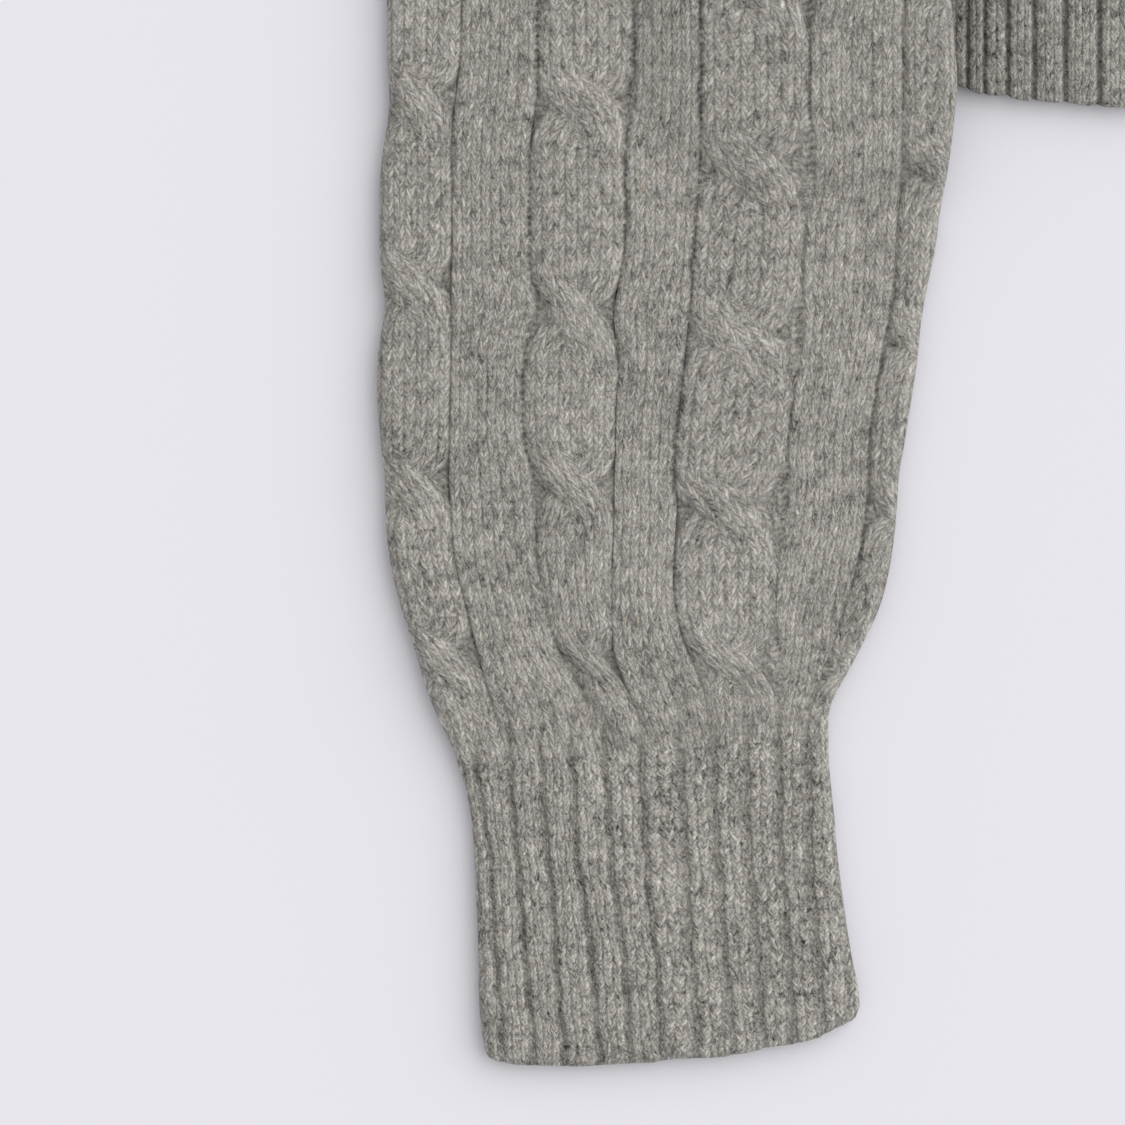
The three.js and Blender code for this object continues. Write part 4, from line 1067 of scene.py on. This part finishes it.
def panel(name, front):
    """Front or back body panel, cables every 39 mm."""
    step = 2.3 if front else 2.7
    tall = HPS[1] - HEM_HEIGHT
    t = np.linspace(0, 1, int(tall / step) + 1)[:, None]
    edge = np.array(SIDE + ARMHOLE + [HPS], float)
    yc = mix(HEM_HEIGHT + GAP, HPS[1], t)
    xo = np.interp(yc, edge[:, 1], edge[:, 0])            # outer edge
    if front:
        ny = clamp01((yc - (HPS[1] - FRONT_NECK_DEPTH)) / FRONT_NECK_DEPTH)
        ell = HPS[0] * np.sqrt(np.maximum(0, 1 - (1 - ny) ** 2))
        xi_ = np.maximum(SLIT_HALF, np.where(yc > HPS[1] - FRONT_NECK_DEPTH, ell, 0.0))
    else:
        d = clamp01((yc - (HPS[1] - BACK_NECK_DEPTH)) / BACK_NECK_DEPTH)
        xi_ = np.maximum(0.6, HPS[0] * d ** (1 / 2.4) * (yc > HPS[1] - BACK_NECK_DEPTH))
    xi_ = np.minimum(xi_, xo - 0.01)
    nside = int(200 / step)
    f = np.linspace(0, 1, nside + 1)[None]
    right = mix(xi_, xo, f)
    left = -right[:, ::-1]
    nmid = 12 if front else 1
    fm = np.linspace(-1, 1, nmid + 1)[None][:, 1:-1]
    x = np.concatenate([left, xi_ * fm, right], 1)
    y = np.broadcast_to(yc, x.shape).copy()
    # the bottom row follows the hem's top
    low = (hem_top(x[0]) - HEM_HEIGHT) * 1.0
    y = y + low[None] * (1 - smooth(t * tall / 60))
    cutoff = SLIT_BOTTOM if front else HPS[1] - BACK_NECK_DEPTH
    skip = np.zeros((x.shape[0] - 1, x.shape[1] - 1), bool)
    midcols = slice(nside, nside + nmid)
    above = (yc[:-1, 0] + yc[1:, 0]) / 2 > cutoff
    skip[above, midcols] = True
    fld = Field(x, y)
    period = 39.0
    ks = np.arange(-6, 7)
    xr = x + period / 2
    cell = np.floor(xr / period)
    local = xr - cell * period                            # 0..39, cable in the middle
    a, b = 8.2, 30.8
    fld.xi = local
    fld.jersey(-1.0 + 0 * x, a + 0 * x, 3.5, 0)
    fld.jersey(b + 0 * x, period + 1 + 0 * x, 3.5, 20)
    stag = np.where(cell % 2 == 0, 0.0, 22.0)
    fld.t = y + stag
    fld.cable(a + 0 * x, b + 0 * x, np.arange(0, 480, 44.0), 40)
    fld.t = y
    fld.furrow(a, 0.85, 1.2)
    fld.furrow(b, 0.85, 1.2)
    fld.wb = x / 2.40 + 0.25
    fld.zones = [(np.ones(x.shape, bool), fld.wb)]
    rel = fld.z
    edge_d = np.minimum.reduce([np.abs(xo - np.abs(x)), y - y[:1]])
    hem_t = smooth(edge_d / 3.0)
    wave = 0.15 * np.sin(x * 0.04 + 1) * np.sin(y * 0.033)
    if front:
        z_top = WALL + GAP + 1.55 + (rel * 0.72 + wave) * (0.4 + 0.6 * hem_t)
        z_low = WALL + GAP + 0.0 * x
    else:
        z_top = np.full(x.shape, WALL - 0.1)
        z_low = 0.62 - 0.40 * rel
        z_low = np.maximum(z_low, 0.0)
    # painted shade: the colour is darkened in the cable hollows, with an even painted shade on the other face
    hollow_shade = hollow(rel, step, step, 4.0)
    attrs = {"hollow_shade": (hollow_shade, 0.1), "purl": (0.0, 0.0 if front else 0.0)}
    if not front:
        attrs = {"hollow_shade": (0.15, hollow_shade), "purl": (1.0, 0.0)}
    wd = cell * 3.0
    knit = fld.knit_corners()
    knit[..., 0] += corner(np.broadcast_to(np.round(x / period) * 0, x.shape))
    jump = np.ptp(knit[..., 0], axis=1) > 6
    knit[jump, :, 0] = knit[jump, :, 0].min(1)[:, None]
    return slab(name, x, y, z_top, z_low, knit, attrs, skip)


def band(name, z0, top):
    """Button band: an upright strip of fine rib."""
    x1, y0, y1 = SLIT_HALF - GAP, SLIT_BOTTOM + GAP, HPS[1] - FRONT_NECK_DEPTH - GAP
    xs = np.linspace(-x1, x1, 60)[None]
    ys = np.linspace(y0, y1, 62)[:, None]
    x = xs + 0 * ys
    y = ys + 0 * xs
    wale = (x + x1) / 1.96
    rib = np.abs(np.sin(np.pi * wale / 2)) ** 0.7
    e = np.minimum(x1 - np.abs(x), np.minimum(y - y0, y1 - y))
    rd = rounding(e + 0.05, 0.8)
    edge = np.exp(-((x1 - np.abs(x) - 2.2) / 0.5) ** 2)
    z_top = z0 + 1.5 * (0.45 + 0.55 * rd) - 0.32 * (1 - rib) - 0.25 * edge
    z_low = z0 + 0.35 * (1 - rd)
    # painted shade in the rib valleys and along the pressed line beside the edge
    hollow_shade = clamp01(0.55 * (1 - rib) + 0.4 * edge)
    knit = np.stack([corner(wale), corner(y / 1.6)], -1)
    return slab(name, x, y, z_top if top else z_top, z_low, knit, {"hollow_shade": (hollow_shade, 0.2), "purl": (0.0, 0.0)})


# --------------------------------------------------------------------- collar
def collar():
    wall, bend, strip = 1.7, 1.05, 68.0
    stand0, stand1 = 33.0, 7.0
    zb = wall / 2 + 2 * bend
    zf = zb + 2.75
    half = wall / 2
    unit = lambda x, y: (lambda l: (x / l, y / l, 0.0))(math.hypot(x, y))
    back_neck = lambda x: HPS[1] - BACK_NECK_DEPTH * (1 - (abs(x) / HPS[0]) ** 2.4)
    corner_drop = back_neck(HPS[0] - 1.5) + stand0 - (445 - 8)
    loop = []
    nf = 90
    for i in range(nf + 1):
        q = i / nf
        a = math.radians(mix(86.5, 4, q ** 0.9))
        inset = GAP + 0.4
        c = (-(HPS[0] - inset) * math.cos(a), HPS[1] + GAP - (FRONT_NECK_DEPTH - inset) * math.sin(a), zf)
        round_off = corner_drop * float(smooth((q - 0.62) / 0.38))
        stand = mix(stand1, stand0, q ** 1.25) - round_off
        d = unit(mix(0.25, -0.02, q), 1)
        ang = mix(mix(233, 208, float(smooth(q * 1.25))), 262, max(0.0, (q - 0.45) / 0.55) ** 1.6)
        e = (math.cos(math.radians(ang)), math.sin(math.radians(ang)), 0.0)
        loop.append((c, d, (0, 0, 1), e, stand, strip - stand - 2 - 2 * round_off, 0.6 * (1 - q)))
    for k in range(13):
        tt = math.radians(60 - 10 * k)
        n = (-math.cos(tt), 0, math.sin(tt))
        rt = (zf - zb) / 2
        c = (-HPS[0] + 1.5 + n[0] * rt, HPS[1] + GAP + 0.35, (zb + zf) / 2 + n[2] * rt)
        low = stand0 - corner_drop - 5.6 * (1 - k / 12)
        loop.append((c, (0, 1, 0), n, (0, -1, 0), low, low, 0.0))
    nb = 60
    for i in range(nb + 1):
        x = -mix(HPS[0] - 1.5, 0, i / nb)
        c = (x, back_neck(x) + GAP + 0.1, zb)
        plain = back_neck(x) + stand0
        crest = 445 - 8 * (max(0.0, abs(x) - 58) / 25.5) ** 2
        round_off = 2.2 * math.log(1 + math.exp((plain - crest) / 2.2))      # soft lower of the two
        loop.append((c, (0, 1, 0), (0, 0, -1), (0, -1, 0), stand0 - round_off, stand0 - 0.2 - round_off, 0.0))
    m = lambda v: (-v[0], v[1], v[2])
    full = loop + [(m(c), m(d), m(n), m(e), s, f, dr) for c, d, n, e, s, f, dr in loop[:-1][::-1]]

    prof = []                                             # path along the strip: (kind, 0..1)
    for k in range(9):
        prof.append(("s", k / 8))
    for k in range(1, 8):
        prof.append(("b", k / 8))
    for k in range(13):
        prof.append(("f", k / 12))
    mids, nrm, dist = [], [], []
    for c, d, n, e, stand, fall, drop in full:
        c, d, n, e = (np.array(v, float) for v in (c, d, n, e))
        pts, nn, ds = [], [], []
        for kind, u in prof:
            if kind == "s":
                pts.append(c + d * stand * u)
                nn.append(-n)
                ds.append(stand * u)
            elif kind == "b":
                tt = math.pi * u
                pts.append(c + d * (stand + bend * math.sin(tt)) + n * (bend - bend * math.cos(tt)))
                v = d * math.sin(tt) - n * math.cos(tt)
                nn.append(v)
                ds.append(stand + bend * tt)
            else:
                p = c + d * stand + n * 2 * bend + e * fall * u
                p[2] -= drop * u
                pts.append(p)
                nn.append(n)
                ds.append(stand + math.pi * bend + fall * u)
        mids.append(pts)
        nrm.append(nn)
        dist.append(ds)
    mids, nrm, dist = np.array(mids), np.array(nrm), np.array(dist)
    # finer sections between those given, 460 in all
    s_old = np.arange(len(mids))
    s_new = np.linspace(0, len(mids) - 1, 460)
    def fine(a):
        flat = a.reshape(len(a), -1)
        return np.stack([np.interp(s_new, s_old, flat[:, k]) for k in range(flat.shape[1])], 1).reshape((len(s_new),) + a.shape[1:])
    mids, nrm, dist = fine(mids), fine(nrm), fine(dist)
    nrm /= np.linalg.norm(nrm, axis=-1, keepdims=True)
    # ribs run from the neck seam to the edge
    fold = 14
    step = np.linalg.norm(np.diff(mids[:, fold], axis=0), axis=1)
    run = np.concatenate([[0], np.cumsum(step)])
    wale = run / 2.3
    rib = np.abs(np.sin(np.pi * wale))[:, None]
    total = dist[:, -1:]
    edge = np.minimum(total - dist, 99)
    thick = half * (0.55 + 0.45 * rounding(edge + 0.1, 2.0))
    border = 0.14 * np.exp(-((edge - 3.2) / 0.7) ** 2)
    rel = 0.20 * rib ** 0.7 - 0.20 - border
    outer = mids + nrm * (thick + rel)[..., None]
    inner = mids - nrm * (thick - 0.04)[..., None]
    S, P = mids.shape[:2]
    io = np.arange(S * P).reshape(S, P)
    ii = io + S * P
    faces = [grid_quads(io), grid_quads(ii)[:, ::-1]]
    W = np.broadcast_to(wale[:, None], (S, P))
    V = dist / 1.6
    knit = [np.stack([corner(W), corner(V)], -1), np.stack([corner(W), corner(V)], -1)[:, ::-1]]
    U = np.broadcast_to(run[:, None] / run[-1], (S, P))
    Vb = dist / total
    b0 = np.stack([corner(U * 0.98 + 0.01), corner(Vb * 0.44 + 0.02)], -1)
    b1 = np.stack([corner(U * 0.98 + 0.01), corner(Vb * 0.44 + 0.49)], -1)[:, ::-1]
    bake = [b0, b1]
    for ring_o, ring_i, flip in ((io[:, 0], ii[:, 0], False), (io[:, -1], ii[:, -1], True),
                                 (io[0], ii[0], True), (io[-1], ii[-1], False)):
        fr = grid_quads(np.stack([ring_o, ring_i]))
        if flip:
            fr = fr[:, ::-1]
        faces.append(fr)
        k = len(fr)
        knit.append(np.tile(np.array([[[0.2, 0], [0.2, 1], [0.8, 1], [0.8, 0]]], float), (k, 1, 1)))
        a = np.arange(k) / k * 0.98
        v0 = 0.945 + 0.012 * len(bake)
        bake.append(np.stack([np.stack([a, a * 0 + v0], -1), np.stack([a, a * 0 + v0 + .008], -1),
                              np.stack([a + .9 / k, a * 0 + v0 + .008], -1), np.stack([a + .9 / k, a * 0 + v0], -1)], 1))
    # painted shade in the rib valleys and along the border line; the inner face gets an even painted shade
    hollow_shade = clamp01(0.50 * (1 - rib) + 3.0 * border)
    co = np.concatenate([outer.reshape(-1, 3), inner.reshape(-1, 3)])
    at = {"hollow_shade": np.concatenate([np.broadcast_to(hollow_shade, (S, P)).ravel(), np.full(S * P, 0.25)]), "purl": np.zeros(2 * S * P)}
    return build("collar_knit", co, np.concatenate(faces), np.concatenate(knit), np.concatenate(bake), at)


# -------------------------------------------------------------------- buttons
def horn():
    mat, t, bsdf = new_material("button_horn", 0.38)
    bsdf.inputs["Specular IOR Level"].default_value = 0.5
    tc = t.nodes.new("ShaderNodeTexCoord")
    n1 = noise(t, tc.outputs["Object"], 260.0, 4.0, 0.6)
    mp = t.nodes.new("ShaderNodeMapping")
    mp.inputs["Scale"].default_value = (900.0, 160.0, 300.0)
    t.links.new(tc.outputs["Object"], mp.inputs[0])
    n2 = noise(t, mp.outputs[0], 1.0, 3.0, 0.6)
    mixn = t.nodes.new("ShaderNodeMix")
    mixn.data_type = "RGBA"
    t.links.new((n1 * 0.6 + n2 * 0.4).step(0.36, 0.66).s, mixn.inputs[0])
    mixn.inputs[6].default_value = (0.115, 0.100, 0.088, 1)
    mixn.inputs[7].default_value = (0.30, 0.27, 0.235, 1)
    t.links.new(mixn.outputs[2], bsdf.inputs["Base Color"])
    r = n2 * 0.25 + 0.28
    t.links.new(r.s, bsdf.inputs["Roughness"])
    bp = t.nodes.new("ShaderNodeBump")
    bp.inputs["Strength"].default_value = 0.35
    bp.inputs["Distance"].default_value = 0.00012
    t.links.new((n2 + n1).s, bp.inputs["Height"])
    t.links.new(bp.outputs[0], bsdf.inputs["Normal"])
    return mat


def thread_mat():
    mat, t, bsdf = new_material("button_thread", 0.85, 0.1)
    tc = t.nodes.new("ShaderNodeTexCoord")
    wv = t.nodes.new("ShaderNodeTexWave")
    wv.inputs["Scale"].default_value = 900.0
    t.links.new(tc.outputs["Object"], wv.inputs[0])
    n = t.nodes.new("ShaderNodeMix")
    n.data_type = "RGBA"
    t.links.new(wv.outputs["Fac"], n.inputs[0])
    n.inputs[6].default_value = (0.20, 0.19, 0.175, 1)
    n.inputs[7].default_value = (0.36, 0.345, 0.32, 1)
    t.links.new(n.outputs[2], bsdf.inputs["Base Color"])
    bp = t.nodes.new("ShaderNodeBump")
    bp.inputs["Distance"].default_value = 0.0001
    t.links.new(wv.outputs["Fac"], bp.inputs["Height"])
    t.links.new(bp.outputs[0], bsdf.inputs["Normal"])
    return mat


M_HORN, M_THREAD = horn(), thread_mat()


def button(name, cy, z):
    """A four-hole button with a raised rim and a dished face; the holes are
    open, and two bars of thread cross between them."""
    R, H, HR = 5.75, 2.2, 0.78
    prof = [(0.0, 0.0), (3.4, 0.0), (4.9, 0.12), (5.5, 0.5), (5.75, 1.0), (5.72, 1.5), (5.45, 1.95), (5.0, 2.17),
            (4.55, 2.2), (4.2, 2.08), (3.95, 1.80), (3.7, 1.62), (3.2, 1.55), (0.0, 1.52)]
    n = 64
    ang = np.arange(n) * 2 * math.pi / n
    rings = [(r, h) for r, h in prof[1:-1]]
    co = [(0, 0, prof[0][1])]
    for r, h in rings:
        co += [(r * math.cos(a), r * math.sin(a), h) for a in ang]
    co.append((0, 0, prof[-1][1]))
    faces = []
    for j in range(n):
        faces.append((0, 1 + (j + 1) % n, 1 + j, -1))
    for i in range(len(rings) - 1):
        for j in range(n):
            a, b = 1 + i * n + j, 1 + i * n + (j + 1) % n
            faces.append((a, b, b + n, a + n))
    last = 1 + (len(rings) - 1) * n
    top = len(co) - 1
    for j in range(n):
        faces.append((top, last + j, last + (j + 1) % n, -1))
    co = np.array(co, float) + [0, cy, z]
    ob = build(name, co, faces)
    cut = []
    for k, (hx, hy) in enumerate(((1.45, 1.45), (-1.45, 1.45), (-1.45, -1.45), (1.45, -1.45))):
        m = 20
        a = np.arange(m) * 2 * math.pi / m
        ring = np.stack([hx + HR * np.cos(a), hy + HR * np.sin(a)], -1)
        lo = np.concatenate([ring, np.full((m, 1), -1.0)], 1)
        hi = np.concatenate([ring, np.full((m, 1), 3.5)], 1)
        cc = np.concatenate([lo, hi, [[hx, hy, -1.0], [hx, hy, 3.5]]]) + [0, cy, z]
        fc = []
        for j in range(m):
            j2 = (j + 1) % m
            fc.append((j, j2, m + j2, m + j))
            fc.append((2 * m, j2, j, -1))
            fc.append((2 * m + 1, m + j, m + j2, -1))
        c = build("cutter", cc, fc)
        mod = ob.modifiers.new("hole", "BOOLEAN")
        mod.operation = "DIFFERENCE"
        mod.solver = "EXACT"
        mod.object = c
        cut.append(c)
    bpy.context.view_layer.update()
    dg = bpy.context.evaluated_depsgraph_get()
    me = bpy.data.meshes.new_from_object(ob.evaluated_get(dg))
    ob.modifiers.clear()
    old = ob.data
    ob.data = me
    bpy.data.meshes.remove(old)
    for c in cut:
        m0 = c.data
        bpy.data.objects.remove(c)
        bpy.data.meshes.remove(m0)
    me.name = name
    me.materials.clear()
    me.materials.append(M_HORN)
    co2 = np.zeros(len(me.vertices) * 3, np.float32)
    me.vertices.foreach_get("co", co2)
    # smooth shading with crisp hole rims
    me.polygons.foreach_set("use_smooth", np.ones(len(me.polygons), bool))
    try:
        me.set_sharp_from_angle(angle=math.radians(40))
    except Exception:
        pass
    # thread: two bars of three strands, each passing down through its holes
    tc, tf = [], []
    for bx in (-1.45, 1.45):
        for s in (-0.26, 0.0, 0.26):
            path = []
            for k in range(13):
                u = k / 12 * 2 - 1
                yy = 1.45 * u * (1.02)
                zz = 1.62 + 0.42 * (1 - abs(u) ** 3)
                path.append((bx + s * (1 - 0.35 * abs(u)), yy, zz))
            path = [(bx + s * 0.6, -1.47, -0.2)] + path + [(bx + s * 0.6, 1.47, -0.2)]
            p = np.array(path)
            start = len(tc)
            for k in range(len(p)):
                d = p[min(k + 1, len(p) - 1)] - p[max(k - 1, 0)]
                d /= np.linalg.norm(d)
                sx = np.array([1.0, 0, 0])
                up = np.cross(sx, d)
                up /= np.linalg.norm(up)
                for j in range(8):
                    a = j * math.pi / 4
                    tc.append(p[k] + 0.17 * (sx * math.cos(a) + up * math.sin(a)))
            for k in range(len(p) - 1):
                for j in range(8):
                    a, b = start + k * 8 + j, start + k * 8 + (j + 1) % 8
                    tf.append((a, b, b + 8, a + 8))
            for end in (start, start + (len(p) - 1) * 8):
                for j in range(1, 7):
                    tf.append((end, end + j, end + j + 1, -1) if end != start else (end, end + j + 1, end + j, -1))
    th = build(name + "_thread", np.array(tc) + [0, cy, z], tf)
    th.data.materials.append(M_THREAD)
    return ob, th


# ------------------------------------------------------------------ the shirt
def finish_piece(ob, mat, node):
    if not ob.data.materials:
        ob.data.materials.append(mat)
    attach(ob, "root")
    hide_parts(node)
    return ob


finish_piece(sleeve("sleeve_right_knit", -1, True), M_CABLE, "sleeve_right")
finish_piece(cuff("cuff_right_knit", -1, True), M_RIB, "cuff_right")
finish_piece(sleeve("sleeve_left_knit", 1, False), M_CABLE, "sleeve_left")
finish_piece(cuff("cuff_left_knit", 1, False), M_RIB, "cuff_left")
finish_piece(hem("hem_front_knit", True), M_RIB, "hem_front")
finish_piece(hem("hem_back_knit", False), M_RIB, "hem_back")
finish_piece(panel("front_knit", True), M_CABLE, "front_panel")
finish_piece(panel("back_knit", False), M_CABLE, "back_panel")
finish_piece(collar(), M_FINE, "collar")
BAND_Z = WALL + GAP
finish_piece(band("placket_under_knit", BAND_Z, False), M_FINE, "placket_under")
finish_piece(band("placket_over_knit", BAND_Z + 1.5 + GAP, True), M_FINE, "placket_over")
for i, cy in enumerate((272, 248, 224)):
    b, th = button(f"button_{i + 1}_horn", cy, BAND_Z + 3.0 + 2 * GAP)
    finish_piece(b, M_HORN, f"button_{i + 1}")
    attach(th, "root")

# ------------------------------------------------------- surface, light, view
fm = bpy.data.materials.new("pale_surface")
fm.use_nodes = True
fb = fm.node_tree.nodes["Principled BSDF"]
fb.inputs["Base Color"].default_value = (0.783, 0.774, 0.823, 1)
fb.inputs["Roughness"].default_value = 1.0
fb.inputs["Specular IOR Level"].default_value = 0.0
me = bpy.data.meshes.new("surface")
me.from_pydata([(-4, -4, -0.0004), (4, -4, -0.0004), (4, 4, -0.0004), (-4, 4, -0.0004)], [], [(0, 1, 2, 3)])
floor = bpy.data.objects.new("surface", me)
me.materials.append(fm)
bpy.context.scene.collection.objects.link(floor)

scene = bpy.context.scene
world = bpy.data.worlds.new("studio")
world.use_nodes = True
bg = world.node_tree.nodes["Background"]
bg.inputs[0].default_value = (1.0, 1.0, 1.0, 1)
bg.inputs[1].default_value = 0.66
scene.world = world

sun = bpy.data.lights.new("key", "SUN")
sun.energy = 1.72
sun.angle = math.radians(74)
key = bpy.data.objects.new("key", sun)
dx, dy, dz = 0.66, 0.33, 0.66
ln = math.sqrt(dx * dx + dy * dy + dz * dz)
key.rotation_euler = (0.0, math.acos(dz / ln), math.atan2(dy, dx))
scene.collection.objects.link(key)

cam = bpy.data.cameras.new("view")
cam.type = "PERSP"
cam.lens = 200.0
cam.sensor_width = 36.0
cam.clip_start, cam.clip_end = 0.05, 30.0
camera = bpy.data.objects.new("view", cam)
span = 1125 / 4.2 / 1000
camera.location = (-0.2439, (Y_OFF - 108.93) / 1000, span * 200 / 36 + 0.0050)
camera.rotation_euler = (0, 0, 0)
scene.collection.objects.link(camera)
scene.camera = camera
scene.view_settings.view_transform = "Standard"
scene.view_settings.look = "None"
scene.view_settings.exposure = 0.0
scene.view_settings.gamma = 1.0
